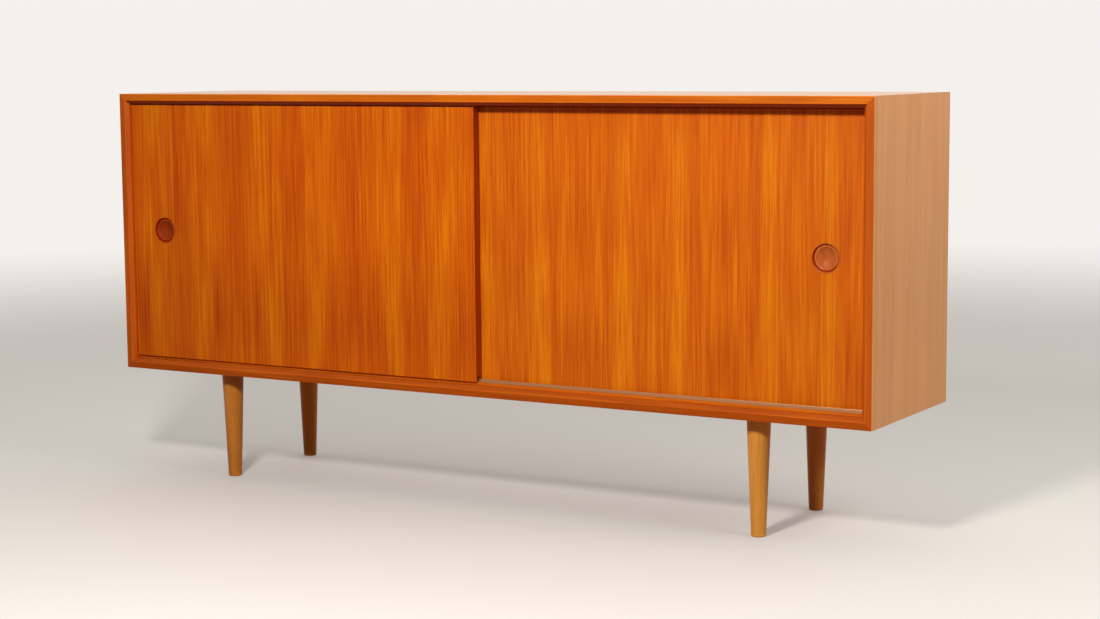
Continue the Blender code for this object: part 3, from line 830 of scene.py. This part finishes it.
@dataclass
class CaseBoards:
    """The mitred case, the divider and the shelves: flat boards that keep their CAD shape."""

    lying: tuple[str, ...] = ("bottom_panel", "left_shelf", "right_shelf")
    sides: tuple[str, ...] = ("left_side_panel", "right_side_panel")
    # Where in the log each leaf set comes from
    top_seed: float = 3.1
    side_seeds: tuple[float, ...] = (7.3, 11.3)
    lying_seeds: tuple[float, ...] = (17.9, 20.9, 23.9)
    divider_seed: float = 31.3

    def build(self) -> list[str]:
        """Dresses each board, with the grain along its length. The outer sides and the top have paler tones:
        partly daylight fading, partly painted sheen.

        Returns:
            The names of the boards.
        """
        # The top and the sides are veneered with a calmer cut than the doors
        quiet = {
            "band_share": 0.35,
            "patch_share": 0.3,
            "streak_share": 0.2,
            "line_share": 0.25,
            "vein_share": 0.08,
            "ribbon_share": 0.12,
            "mottle": 0.03,
        }
        # Years of wax and dusting have filled the pores of the top and given it a polish
        polish = {"specular": 0.8, "roughness": 0.23, "pore_relief": 0.0}
        # The faces that look out get paler tones: partly daylight fading, partly painted sheen
        faded_and_sheen = {"second_tones": FADED_AND_SHEEN_TEAK, "second_towards": (0.0, 1.0, 1.0)}
        top = {**quiet, **polish, **faded_and_sheen, "seed": self.top_seed}
        looks = {"top_panel": teak_veneer("top_teak", Axis.X, Axis.Y, **top)}
        for node, seed, out in zip(self.sides, self.side_seeds, (-1.0, 1.0)):
            faded_and_sheen = {"second_tones": FADED_AND_SHEEN_TEAK, "second_towards": (out, 1.0, 0.0), "specular": 0.25}
            looks[node] = teak_veneer(f"{node}_teak", Axis.Z, Axis.Y, seed=seed, **faded_and_sheen, **quiet)
        for node, seed in zip(self.lying, self.lying_seeds):
            faded_and_sheen = {"second_tones": FADED_AND_SHEEN_TEAK, "second_towards": (0.0, 1.0, 0.0)}
            looks[node] = teak_veneer(f"{node}_teak", Axis.X, Axis.Y, seed=seed, **faded_and_sheen)
        looks["centre_divider"] = teak_veneer("divider_teak", Axis.Z, Axis.Y, seed=self.divider_seed)
        for node, look in looks.items():
            dress(node, look.make())
        return list(looks)


@dataclass
class FrontEdging:
    """The solid edging round the case's front: a flat face, then a slope inwards, mitred at the corners."""

    flat: float = 13 * MM
    slope_depth: float = 6 * MM
    outer_rounding: float = 0.8 * MM
    arris_rounding: float = 0.7 * MM
    inner_rounding: float = 0.4 * MM
    hidden_rounding: float = 0.1 * MM
    joint_gap: float = 0.05 * MM
    wear_reach: float = 1.6 * MM
    slope_margin: float = 0.6 * MM
    fill: float = 0.8 * MM
    first_seed: float = 11.0
    seed_step: float = 2.7

    def outline(self, width: float, depth: float, in_shade: bool) -> tuple[np.ndarray, np.ndarray]:
        """The section: (inwards, behind) points round the bar, how worn each is, and painted shade on the
        slope under the top.

        Args:
            width: The bar's size inwards.
            depth: The bar's size from front to back.
            in_shade: Whether the slope gets painted shade, as it does under the top.

        Returns:
            The rounded outline and how worn each point is, which is -1 along a slope with painted shade.
        """
        corners = np.array([[0, 0], [self.flat, 0], [width, self.slope_depth], [width, depth], [0, depth]])
        radii = [self.outer_rounding, self.arris_rounding, self.inner_rounding]
        points = filled(rounded(corners, radii + [self.hidden_rounding] * 2), self.fill)
        wear = wear_near(points, corners[:2], self.wear_reach)
        # The slope under the top bar's overhang gets painted shade
        on_slope = (points[:, 0] > self.flat + self.slope_margin) & (points[:, 1] < self.slope_depth + MM)
        return points, np.where(on_slope & in_shade, -1.0, wear)

    def bar(self, side: Side) -> bpy.types.Object:
        """One mitred bar: the outline carried from one mitre to the other.

        A point that lies inwards by i ends at half the case's size less i, less the joint's gap.

        Args:
            side: The side of the case that it covers.

        Returns:
            The new piece.
        """
        low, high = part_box(f"{side.value}_front_edging")
        outer_low, outer_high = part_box("left_front_edging")[0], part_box("right_front_edging")[1]
        case_low, case_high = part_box("bottom_front_edging")[0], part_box("top_front_edging")[1]
        width = (high - low)[0 if side.upright() else 2]
        section, wear = self.outline(width, high.y - low.y, in_shade=side is Side.TOP)
        inwards, behind = section.T
        reach_x = (outer_high.x - outer_low.x) / 2 - inwards
        reach_z = (case_high.z - case_low.z) / 2 - inwards
        middle_x, middle_z = (outer_high.x + outer_low.x) / 2, (case_high.z + case_low.z) / 2
        ends = []
        for end in (-1, 1):
            if side.upright():
                x = reach_x if side is Side.RIGHT else -reach_x
                z = end * (reach_z - self.joint_gap)
            else:
                x = end * (reach_x - self.joint_gap)
                z = reach_z if side is Side.TOP else -reach_z
            ends.append(np.stack([middle_x + x, low.y + behind, middle_z + z], -1))
        count = len(section)
        caps = [list(range(count)), list(range(2 * count - 1, count - 1, -1))]
        faces = tube_faces(2, count).tolist() + caps
        return new_piece(f"{side.value}_edging", np.vstack(ends), faces, np.tile(wear, 2))

    def build(self) -> list[str]:
        """Builds the four bars. The uprights come from a redder plank, and the lowest from a deeper one.

        Returns:
            The names of the bars.
        """
        red = {"dark": "#9a3c04", "middle": "#b04e0a", "light": "#c46014"}
        deep = {"dark": "#903600", "middle": "#a44602", "light": "#bc600a"}
        # The outward faces of the top bar and the uprights get paler tones: partly daylight fading, partly
        # painted sheen
        faded_and_sheen = {"second_tones": FADED_AND_SHEEN_TEAK}
        bars = {
            Side.TOP: ((0.0, 0.0, 1.0), faded_and_sheen),
            Side.BOTTOM: ((0.0, 0.0, -1.0), deep),
            Side.LEFT: ((-1.0, 0.0, 0.0), {**red, **faded_and_sheen}),
            Side.RIGHT: ((1.0, 0.0, 0.0), {**red, **faded_and_sheen}),
        }
        made = []
        for number, (side, (outwards, tones)) in enumerate(bars.items()):
            along, across = (Axis.Z, Axis.X) if side.upright() else (Axis.X, Axis.Z)
            seed = self.first_seed + self.seed_step * number
            # The top bar's slope gets painted shade
            look = {"soaked": PAINTED_SHADE_TEAK, "seed": seed, "second_towards": outwards, **tones}
            teak = solid_teak(f"{side.value}_edging_teak", along, across, **look).make()
            made.append(seat(self.bar(side), f"{side.value}_front_edging", teak).name)
        return made


@dataclass
class SlidingDoor:
    """A veneered door with a turned finger pull let into it, on two moulded glides."""

    side: Side
    leaf_shift: float
    seed: float
    tones: Tones
    pull_tones: tuple[str, str, str, str]
    pull_wear: float
    tongue_reach: float = 8 * MM
    back_taper: float = 1.5 * MM
    edge_width: float = 1.1 * MM
    edge_proud: float = 0.2 * MM
    groove_width: float = 4.2 * MM
    groove_depth: float = 4.4 * MM
    groove_taper: float = 0.3 * MM
    lip_depth: float = 2.2 * MM
    lip_width: float = 1.2 * MM
    lip_drop: float = 0.6 * MM
    dish_depth: float = 9.5 * MM
    dish_steps: int = 25
    around: int = 96
    back_rounding: float = 0.4 * MM
    edge_rounding: float = 0.25 * MM
    groove_rounding: float = 0.8 * MM
    lip_rounding: float = 0.45 * MM
    fill: float = 0.6 * MM
    # How far the painted highlight on the edge and lip reaches, and the painted shade in the groove
    highlight_reach: float = 1.2 * MM
    shade_reach: float = 5.0 * MM
    # The pull's log is another one than the door's, and its oil has dried to a duller surface
    pull_seed_step: float = 5.0
    pull_specular: float = 0.06

    def pull_profile(self, radius: float, depth: float) -> tuple[np.ndarray, np.ndarray]:
        """The finger pull's section, with the door's face at height 0, and each point's painted highlight and
        painted shade.

        From the flat back: a thin rounded edge just proud of the door, a steep wall, a slope back up to a
        rounded lip, and a dish whose depth falls from the middle to the lip with the square of the share
        of its radius.

        Args:
            radius: The pull's outer radius.
            depth: How far it reaches into the door.

        Returns:
            Radius and height of each point, and its marks: above 0 a painted highlight on the edge and lip,
            where fingers also touch, below 0 painted shade in the groove.
        """
        inner = radius - self.edge_width
        lip = inner - self.groove_width
        outline = np.array(
            [
                [0, -depth],
                [radius - self.back_taper, -depth],
                [radius, self.edge_proud],
                [inner, self.edge_proud],
                [inner - self.groove_taper, -self.groove_depth],
                [lip, -self.lip_depth],
                [lip - self.lip_width, -self.lip_depth - self.lip_drop],
            ]
        )
        edges = [self.back_rounding, self.edge_rounding, self.edge_rounding]
        radii = [*edges, self.groove_rounding, self.lip_rounding]
        share = np.linspace(1, 0, self.dish_steps)[:, None]
        start = outline[-1]
        dish = np.hstack([start[0] * share, (start[1] + self.dish_depth) * share**2 - self.dish_depth])
        rim = filled(rounded(outline, radii, closed=False), self.fill, closed=False)
        points = np.vstack([rim[:-1], dish])
        # A painted highlight on the edge and the lip, less painted shade in the groove
        edge_and_lip, groove = outline[[3, 5]], outline[[4]]
        rubbed = wear_near(points, edge_and_lip, self.highlight_reach)
        return points, rubbed - wear_near(points, groove, self.shade_reach)

    def finger_pull(self) -> bpy.types.Object:
        """Turns the finger pull on its axis, which runs out of the door's face.

        Returns:
            The new piece.
        """
        low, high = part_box(f"{self.side.value}_door_finger_pull")
        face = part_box(f"{self.side.value}_door_panel")[0].y
        place = Matrix.Translation(((low.x + high.x) / 2, face, (low.z + high.z) / 2)) @ Facing.FRONT.value
        profile, wear = self.pull_profile((high.x - low.x) / 2, high.y - face)
        return lathe(f"{self.side.value}_door_pull", profile, place, steps=self.around, wear=wear)

    def build(self) -> list[str]:
        """Dresses the door and its glides and builds its finger pull.

        Returns:
            The names of the door's pieces.
        """
        panel = f"{self.side.value}_door_panel"
        low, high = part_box(panel)
        shoulder = high.z - self.tongue_reach
        dark, middle, light = self.tones
        look = teak_veneer(
            f"{panel}_teak",
            Axis.Z,
            Axis.X,
            dark=dark,
            middle=middle,
            light=light,
            leaf_shift=self.leaf_shift,
            # A painted highlight line inside the door's side edges and its top shoulder
            rubbed_edges=(low.x, high.x, shoulder),
            # The right-hand edge face gets darker tones: partly darker teak, partly painted shade of the step
            # between the doors
            second_tones=EDGE_SHADE_TEAK,
            second_towards=(1.0, 0.0, 0.0),
            seed=self.seed,
        )
        dress(panel, look.make())
        # The glides are polyamide, which turns the yellowish white of old plastic
        glides = [f"{self.side.value}_door_glide_{end}" for end in ("left", "right")]
        for glide in glides:
            dress(glide, MouldedPlastic(f"{glide}_plastic", "#d9d5c9").make())
        # The pull is solid teak, turned, with painted shade in its groove and a painted highlight on its edge
        # and lip, where fingers also touch
        node = f"{self.side.value}_door_finger_pull"
        dark, middle, light, soaked = self.pull_tones
        turned = solid_teak(
            f"{node}_teak",
            Axis.Z,
            Axis.X,
            dark=dark,
            middle=middle,
            light=light,
            soaked=soaked,
            wear=self.pull_wear,
            specular=self.pull_specular,
            seed=self.seed + self.pull_seed_step,
        )
        pull = seat(self.finger_pull(), node, turned.make())
        return [panel, *glides, pull.name]


@dataclass
class Legs:
    """The four turned, tapered legs with their bolts and flanged nuts."""

    foot_radius: float = 13.3 * MM
    foot_rounding: float = 2.2 * MM
    top_rounding: float = 0.8 * MM
    foot_wear: float = 4 * MM
    fill: float = 4 * MM
    nut_flange: float = 1.5 * MM
    barrel_radius: float = 5.6 * MM
    bolt_gap: float = 0.3 * MM
    hole_rounding: float = 0.1 * MM
    barrel_rounding: float = 0.3 * MM
    flange_rounding: float = 0.4 * MM
    nut_fill: float = 1.5 * MM
    arc_steps: int = 7
    nut_arc_steps: int = 4
    nut_around: int = 48
    first_seed: float = 40.0
    seed_step: float = 3.7
    # The legs' tones differ partly as the tone of each blank, partly as painted light: the front right leg
    # lighter, the back legs lighter against the shade under the case
    tones: dict[str, Tones] = field(
        default_factory=lambda: {
            "front_left": ("#a25c1a", "#b87026", "#c88238"),
            "front_right": ("#c07a2c", "#d8923a", "#e8a650"),
            "back_left": ("#b2681f", "#c87a2c", "#d88e40"),
            "back_right": ("#ac6220", "#c6782c", "#d69040"),
        }
    )

    def leg(self, corner: str) -> bpy.types.Object:
        """Turns one leg: a straight taper with a rounded foot and a softened top arris.

        Args:
            corner: Which leg, such as front_left.

        Returns:
            The new piece.
        """
        low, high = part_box(f"leg_{corner}")
        top, height = (high.x - low.x) / 2, high.z - low.z
        outline = np.array([[0, 0], [self.foot_radius, 0], [top, height], [0, height]])
        profile = rounded(outline, [self.foot_rounding, self.top_rounding], self.arc_steps, closed=False)
        profile = filled(profile, self.fill, closed=False)
        place = Matrix.Translation(((low.x + high.x) / 2, (low.y + high.y) / 2, low.z))
        wear = wear_near(profile, outline[1:2], self.foot_wear)
        return lathe(f"turned_leg_{corner}", profile, place, wear=wear)

    def nut(self, corner: str) -> bpy.types.Object:
        """Turns one flanged nut: a thin round flange on a barrel, with a hole for the bolt.

        Args:
            corner: Which leg it holds.

        Returns:
            The new piece.
        """
        low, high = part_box(f"leg_nut_{corner}")
        bolt_low, bolt_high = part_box(f"leg_bolt_{corner}")
        bore = (bolt_high.x - bolt_low.x) / 2 + self.bolt_gap
        flange, height = (high.x - low.x) / 2, high.z - low.z
        barrel, step = self.barrel_radius, height - self.nut_flange
        outline = [[bore, 0], [barrel, 0], [barrel, step], [flange, step], [flange, height], [bore, height]]
        radii = [self.hole_rounding] + [self.barrel_rounding] * 3 + [self.flange_rounding] * 2
        profile = filled(rounded(np.array(outline), radii, self.nut_arc_steps), self.nut_fill)
        place = Matrix.Translation(((low.x + high.x) / 2, (low.y + high.y) / 2, low.z))
        return lathe(f"flanged_nut_{corner}", profile, place, steps=self.nut_around, ring=True)

    def build(self) -> list[str]:
        """Builds the legs and nuts and dresses the bolts. Each leg is turned from a blank of its own, and its
        tones also hold painted light.

        Returns:
            The names of the pieces.
        """
        made = []
        # Steel, turned and zinc plated: a bluish grey with a soft gleam
        zinc = Metal("zinc_plated_steel", "#b4b6b8", Axis.Z).make()
        for number, (corner, (dark, middle, light)) in enumerate(self.tones.items()):
            # Oak, turned, sanded and lacquered: straight lines 1 to 4 mm apart in a golden brown
            oak = Wood(
                f"leg_{corner}_oak",
                Axis.Z,
                Axis.X,
                dark=dark,
                middle=middle,
                light=light,
                band_rate=70.0,
                streak_rate=260.0,
                line_rate=800.0,
                vein_rate=160.0,
                specular=0.2,
                seed=self.first_seed + self.seed_step * number,
            )
            made.append(seat(self.leg(corner), f"leg_{corner}", oak.make()).name)
            made.append(seat(self.nut(corner), f"leg_nut_{corner}", zinc).name)
            dress(f"leg_bolt_{corner}", zinc)
            made.append(f"leg_bolt_{corner}")
        return made


@dataclass
class Rails:
    """The two rails that the doors run on: a teak base with a bronze anodised blade."""

    rows: tuple[str, str] = ("front", "rear")
    base_seed: float = 71.0

    def build(self) -> list[str]:
        """Dresses the bases and the blades.

        Returns:
            The names of the pieces.
        """
        # Aluminium, extruded and anodised bronze: a warm satin line under the doors
        blade = Metal("bronze_anodised_aluminium", "#b27e58", Axis.X, roughness=0.36).make()
        base = solid_teak("rail_teak", Axis.X, Axis.Y, seed=self.base_seed).make()
        for row in self.rows:
            dress(f"{row}_rail_base", base)
            dress(f"{row}_rail_blade", blade)
        return [f"{row}_rail_{part}" for row in self.rows for part in ("base", "blade")]


@dataclass
class Fittings:
    """The shelf pins and the divider's dowels."""

    pin_radius: float = 2.5 * MM
    collar_near: float = 0.3 * MM
    collar_far: float = 1.2 * MM
    in_board: float = 7.5 * MM
    end_rounding: float = 0.4 * MM
    seat_rounding: float = 0.05 * MM
    collar_rounding: float = 0.25 * MM
    neck_rounding: float = 0.15 * MM
    tip_rounding: float = 0.8 * MM
    fill: float = 1.0 * MM
    arc_steps: int = 4
    around: int = 32

    def pin(self, node: str) -> bpy.types.Object:
        """Turns one shelf pin: a plain shank, a thin collar against the board and a rounded tip.

        Args:
            node: The pin's CAD node.

        Returns:
            The new piece.
        """
        low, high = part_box(node)
        # A pin is named for its bay and for the wall that holds it, as left_shelf_pin_outer_front
        bay, wall = node.split("_")[0], node.split("_")[3]
        points_right = (bay == "left") == (wall == "outer")
        facing = Facing.RIGHT if points_right else Facing.LEFT
        collar, length = (high.z - low.z) / 2, high.x - low.x
        face = low.x + self.in_board if points_right else high.x - self.in_board
        radius, reach = self.pin_radius, length - self.in_board
        outline = np.array(
            [
                [0, -self.in_board],
                [radius, -self.in_board],
                [radius, self.collar_near],
                [collar, self.collar_near],
                [collar, self.collar_far],
                [radius, self.collar_far],
                [radius, reach],
                [0, reach],
            ]
        )
        collar_radii = [self.seat_rounding, self.collar_rounding, self.collar_rounding, self.neck_rounding]
        radii = [self.end_rounding, *collar_radii, self.tip_rounding]
        profile = filled(rounded(outline, radii, self.arc_steps, closed=False), self.fill, closed=False)
        place = Matrix.Translation((face, (low.y + high.y) / 2, (low.z + high.z) / 2)) @ facing.value
        return lathe(node.replace("shelf_pin", "turned_shelf_pin"), profile, place, steps=self.around)

    def build(self) -> list[str]:
        """Builds the pins and dresses the dowels.

        Returns:
            The names of the pieces.
        """
        # Brass, drawn and turned: yellow pins with a soft gleam
        brass = Metal("drawn_brass", "#c8a558", Axis.X, roughness=0.3).make()
        # Beech, turned into dowels and left bare: pale, pinkish and matte
        beech = Wood("dowel_beech", Axis.Z, Axis.X, "#b98f66", "#caa27a", "#d8b48e").make()
        pins = sorted(name for name in frame["nodes"] if "shelf_pin" in name)
        dowels = sorted(name for name in frame["nodes"] if name.startswith("divider_dowel"))
        made = [seat(self.pin(node), node, brass).name for node in pins]
        for node in dowels:
            dress(node, beech)
        return made + dowels


@dataclass
class Back:
    """The back panel in its rebate, with slotted countersunk screws."""

    screw_radius: float = 1.5 * MM
    head_depth: float = 2 * MM
    tip_length: float = 3 * MM
    slot_width: float = 0.9 * MM
    slot_depth: float = 0.9 * MM
    head_rim: float = 0.3 * MM
    shank_rounding: float = 0.2 * MM
    rim_rounding: float = 0.1 * MM
    face_rounding: float = 0.25 * MM
    fill: float = 1.0 * MM
    arc_steps: int = 4
    around: int = 32
    turn_seed: int = 7

    def screw(self, node: str, turn: float) -> bpy.types.Object:
        """Turns one screw, then cuts the driver's slot across its head.

        Args:
            node: The screw's CAD node.
            turn: The slot's angle, in radians.

        Returns:
            The new piece.
        """
        low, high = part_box(node)
        head, length = (high.x - low.x) / 2, high.y - low.y
        outline = np.array(
            [
                [0, -length],
                [self.screw_radius, self.tip_length - length],
                [self.screw_radius, -self.head_depth],
                [head, -self.head_rim],
                [head, 0],
                [0, 0],
            ]
        )
        radii = [self.shank_rounding, self.shank_rounding, self.rim_rounding, self.face_rounding]
        profile = filled(rounded(outline, radii, self.arc_steps, closed=False), self.fill, closed=False)
        place = Matrix.Translation(((low.x + high.x) / 2, high.y, (low.z + high.z) / 2))
        place = place @ Facing.REAR.value @ Matrix.Rotation(turn, 4, "Z")
        screw = lathe(node.replace("back_screw", "slotted_screw"), profile, place, steps=self.around)
        half = np.array([head + MM, self.slot_width / 2, self.slot_depth])
        signs = np.array([[x, y, z] for x in (-1, 1) for y in (-1, 1) for z in (-1, 1)])
        turned = np.array(place)
        points = (signs * half) @ turned[:3, :3].T + turned[:3, 3]
        faces = [[0, 1, 3, 2], [4, 6, 7, 5], [0, 4, 5, 1], [2, 3, 7, 6], [0, 2, 6, 4], [1, 5, 7, 3]]
        cutter = new_piece("slot_cutter", points, faces, smooth=False)
        cut = screw.modifiers.new("slot", "BOOLEAN")
        cut.operation, cut.solver, cut.object = "DIFFERENCE", "EXACT", cutter
        bpy.context.view_layer.update()
        mesh = bpy.data.meshes.new_from_object(screw.evaluated_get(bpy.context.evaluated_depsgraph_get()))
        screw.modifiers.clear()
        screw.data = mesh
        bpy.data.objects.remove(cutter)
        return screw

    def build(self) -> list[str]:
        """Dresses the panel and builds the screws, each slot at an angle of its own.

        Returns:
            The names of the pieces.
        """
        # Plain veneer on board, sanded and left matte: wide leaves and a dull face
        look = Wood(
            "back_panel_veneer",
            Axis.Z,
            Axis.X,
            dark="#8f5a2c",
            middle="#a8703a",
            light="#bd854a",
            leaf_width=200 * MM,
            ribbon_share=0.15,
            roughness=0.55,
            specular=0.2,
        )
        dress("back_panel", look.make())
        # Steel screws, rolled and zinc plated: small grey heads with a soft gleam
        zinc = Metal("zinc_plated_screw", "#b4b6b8", Axis.Z, roughness=0.32).make()
        screws = sorted(name for name in frame["nodes"] if name.startswith("back_screw"))
        turns = np.random.default_rng(self.turn_seed).uniform(0, math.pi, len(screws))
        made = ["back_panel"]
        for node, turn in zip(screws, turns):
            made.append(seat(self.screw(node, float(turn)), node, zinc).name)
        return made


def direction(azimuth: float, elevation: float) -> Vector:
    """The direction of an azimuth and elevation.

    It is (sin a cos e, -cos a cos e, sin e) for azimuth a and elevation e.

    Args:
        azimuth: Degrees from straight in front of the doors towards the right-hand end.
        elevation: Degrees above the floor.

    Returns:
        The unit vector that points there.
    """
    turn, rise = math.radians(azimuth), math.radians(elevation)
    return Vector((math.sin(turn) * math.cos(rise), -math.cos(turn) * math.cos(rise), math.sin(rise)))


@dataclass(frozen=True)
class Lamp:
    """A square soft lamp that looks at a point from an azimuth and elevation, both in degrees.

    Azimuth 0 is straight in front of the doors and 90 is off the right-hand end. The level is the share
    of full brightness that it gives a white face square to it at that point.
    """

    name: str
    azimuth: float
    elevation: float
    distance: float
    size: float
    level: float
    target: Triple = (0.0, -0.16, 0.5)

    def build(self) -> None:
        """Makes the lamp. Its power is level times pi squared times the distance squared."""
        towards = direction(self.azimuth, self.elevation)
        light = bpy.data.lights.new(self.name, "AREA")
        light.shape, light.size = "SQUARE", self.size
        light.energy = self.level * math.pi**2 * self.distance**2
        lamp = bpy.data.objects.new(self.name, light)
        lamp.location = Vector(self.target) + towards * self.distance
        lamp.rotation_mode = "QUATERNION"
        lamp.rotation_quaternion = towards.to_track_quat("Z", "Y")
        bpy.context.scene.collection.objects.link(lamp)


@dataclass
class Studio:
    """A pale floor that runs into a pale background, soft light and the camera."""

    background: str = "#f4f1ed"
    floor_seen: str = "#bcb7b0"
    floor_carrying: str = "#866a50"
    floor_glow: float = 0.30
    floor_roughness: float = 0.7
    floor_specular: float = 0.1
    floor_radius: float = 60.0
    floor_steps: int = 64
    floor_rings: int = 9
    fade_from: float = 2.2
    fade_to: float = 6.0
    front_strength: float = 0.10
    back_strength: float = 1.2
    brightest_towards: Triple = (-0.35, 0.9, 0.25)
    strength_range: tuple[float, float] = (-0.2, 0.8)
    lamps: tuple[Lamp, ...] = (
        Lamp("key", azimuth=15, elevation=31.5, distance=2.4, size=0.3, level=1.06),
        Lamp("fill", azimuth=84, elevation=36, distance=2.2, size=1.4, level=0.78, target=(0.8, 0.0, 0.5)),
    )
    camera_place: Triple = (2.1535, -3.5083, 0.8453)
    camera_azimuth: float = 30.486
    camera_elevation: float = 6.765
    camera_roll: float = -0.460
    lens: float = 70.23
    sensor_width: float = 36.0

    def floor(self) -> None:
        """A wide round floor: rings of points whose radius doubles outwards.

        To the eye it is pale and runs into the background far from the sideboard; the light that it
        throws back is that of a wooden floor.
        """
        steps = self.floor_steps
        radii = self.floor_radius / 2.0 ** np.arange(self.floor_rings - 1, -1, -1)[:, None]
        turns = np.arange(steps) * (2 * math.pi / steps)
        rings = np.stack([radii * np.cos(turns), radii * np.sin(turns), 0 * radii * turns], -1).reshape(-1, 3)
        around = np.arange(steps)
        middle = np.stack([np.full(steps, len(rings)), around, (around + 1) % steps], -1).tolist()
        mesh = bpy.data.meshes.new("floor")
        mesh.from_pydata(rings.tolist() + [(0, 0, 0)], [], tube_faces(len(radii), steps).tolist() + middle)
        floor = bpy.data.objects.new("floor", mesh)
        bpy.context.scene.collection.objects.link(floor)

        material, tree, shader = new_material("pale_painted_floor")
        shader.inputs["Base Color"].default_value = linear(self.floor_seen)
        shader.inputs["Roughness"].default_value = self.floor_roughness
        shader.inputs["Specular IOR Level"].default_value = self.floor_specular
        shader.inputs["Emission Color"].default_value = linear(self.floor_seen)
        shader.inputs["Emission Strength"].default_value = self.floor_glow
        spot = add_node(tree, "ShaderNodeTexCoord").outputs["Object"]
        reach = add_node(tree, "ShaderNodeVectorMath", {0: spot}, operation="LENGTH").outputs["Value"]
        inputs = {"Value": reach, "From Min": self.fade_from, "From Max": self.fade_to}
        far = add_node(tree, "ShaderNodeMapRange", inputs, **EASED).outputs[0]
        distant = add_node(tree, "ShaderNodeEmission", {"Color": linear(self.background)}).outputs[0]
        seen = add_node(tree, "ShaderNodeMixShader", {0: far, 1: shader.outputs[0], 2: distant}).outputs[0]
        wooden = add_node(tree, "ShaderNodeBsdfDiffuse", {"Color": linear(self.floor_carrying)}).outputs[0]
        mixed = add_node(tree, "ShaderNodeMixShader", {0: seen_directly(tree), 1: wooden, 2: seen}).outputs[0]
        tree.links.new(mixed, tree.nodes["Material Output"].inputs[0])
        mesh.materials.append(material)

    def world(self) -> None:
        """A dome that carries more light behind the sideboard than before it, and shows as one pale tone."""
        world = bpy.data.worlds.new("studio")
        bpy.context.scene.world = world
        world.use_nodes = True
        tree = world.node_tree
        tree.nodes.clear()
        towards = add_node(tree, "ShaderNodeTexCoord").outputs["Generated"]
        inputs = {0: towards, 1: self.brightest_towards}
        behind = add_node(tree, "ShaderNodeVectorMath", inputs, operation="DOT_PRODUCT").outputs["Value"]
        inputs = {"Value": behind, "From Min": self.strength_range[0], "From Max": self.strength_range[1]}
        inputs.update({"To Min": self.front_strength, "To Max": self.back_strength})
        strength = add_node(tree, "ShaderNodeMapRange", inputs, **EASED).outputs[0]
        inputs = {"Color": (1, 1, 1, 1), "Strength": strength}
        light = add_node(tree, "ShaderNodeBackground", inputs).outputs[0]
        pale = add_node(tree, "ShaderNodeBackground", {"Color": linear(self.background)}).outputs[0]
        mix = add_node(tree, "ShaderNodeMixShader", {0: seen_directly(tree), 1: light, 2: pale}).outputs[0]
        add_node(tree, "ShaderNodeOutputWorld", {0: mix})

    def camera(self) -> None:
        """Places the camera: its azimuth turns from straight in front towards the right-hand end."""
        azimuth, roll = math.radians(self.camera_azimuth), math.radians(self.camera_roll)
        back = direction(self.camera_azimuth, self.camera_elevation)
        level = Vector((math.cos(azimuth), math.sin(azimuth), 0))
        above = back.cross(level)
        right = math.cos(roll) * level + math.sin(roll) * above
        up = -math.sin(roll) * level + math.cos(roll) * above
        data = bpy.data.cameras.new("camera")
        data.lens, data.sensor_width, data.sensor_fit = self.lens, self.sensor_width, "HORIZONTAL"
        camera = bpy.data.objects.new("camera", data)
        turn = Matrix((right, up, back)).transposed().to_4x4()
        camera.matrix_world = Matrix.Translation(self.camera_place) @ turn
        bpy.context.scene.collection.objects.link(camera)
        bpy.context.scene.camera = camera

    def build(self) -> list[str]:
        """Builds the studio.

        Returns:
            The names of what it holds.
        """
        self.camera()
        self.floor()
        self.world()
        for lamp in self.lamps:
            lamp.build()
        bpy.context.scene.view_settings.view_transform = "Standard"
        return ["camera", "floor", *(lamp.name for lamp in self.lamps)]


def main() -> None:
    """Builds every sub-assembly in order and reports each piece."""
    logging.basicConfig(level=logging.INFO, format="%(name)s: %(message)s")
    assemblies = [
        Studio(),
        CaseBoards(),
        FrontEdging(),
        Back(),
        Legs(),
        Rails(),
        SlidingDoor(
            Side.LEFT,
            leaf_shift=680 * MM,
            seed=21.0,
            tones=("#a03200", "#c45903", "#de8204"),
            # The left pull's tones are darker partly as redder wood, partly as painted shade; its groove tone
            # is painted shade and its strong pale edge a painted highlight
            pull_tones=("#7c2606", "#8e330b", "#a44a19", "#8e1802"),
            pull_wear=1.1,
        ),
        SlidingDoor(
            Side.RIGHT,
            leaf_shift=-96 * MM,
            seed=57.0,
            tones=("#a83c02", "#c75e07", "#e0860d"),
            # The right pull's groove tone is painted shade, and its edge and lip get a weaker painted
            # highlight
            pull_tones=("#9c4814", "#b45c28", "#c8743e", "#982002"),
            pull_wear=0.45,
        ),
        Fittings(),
    ]
    for assembly in assemblies:
        for piece in assembly.build():
            LOG.info("%s: %s", type(assembly).__name__, piece)


if __name__ == "__main__":
    main()
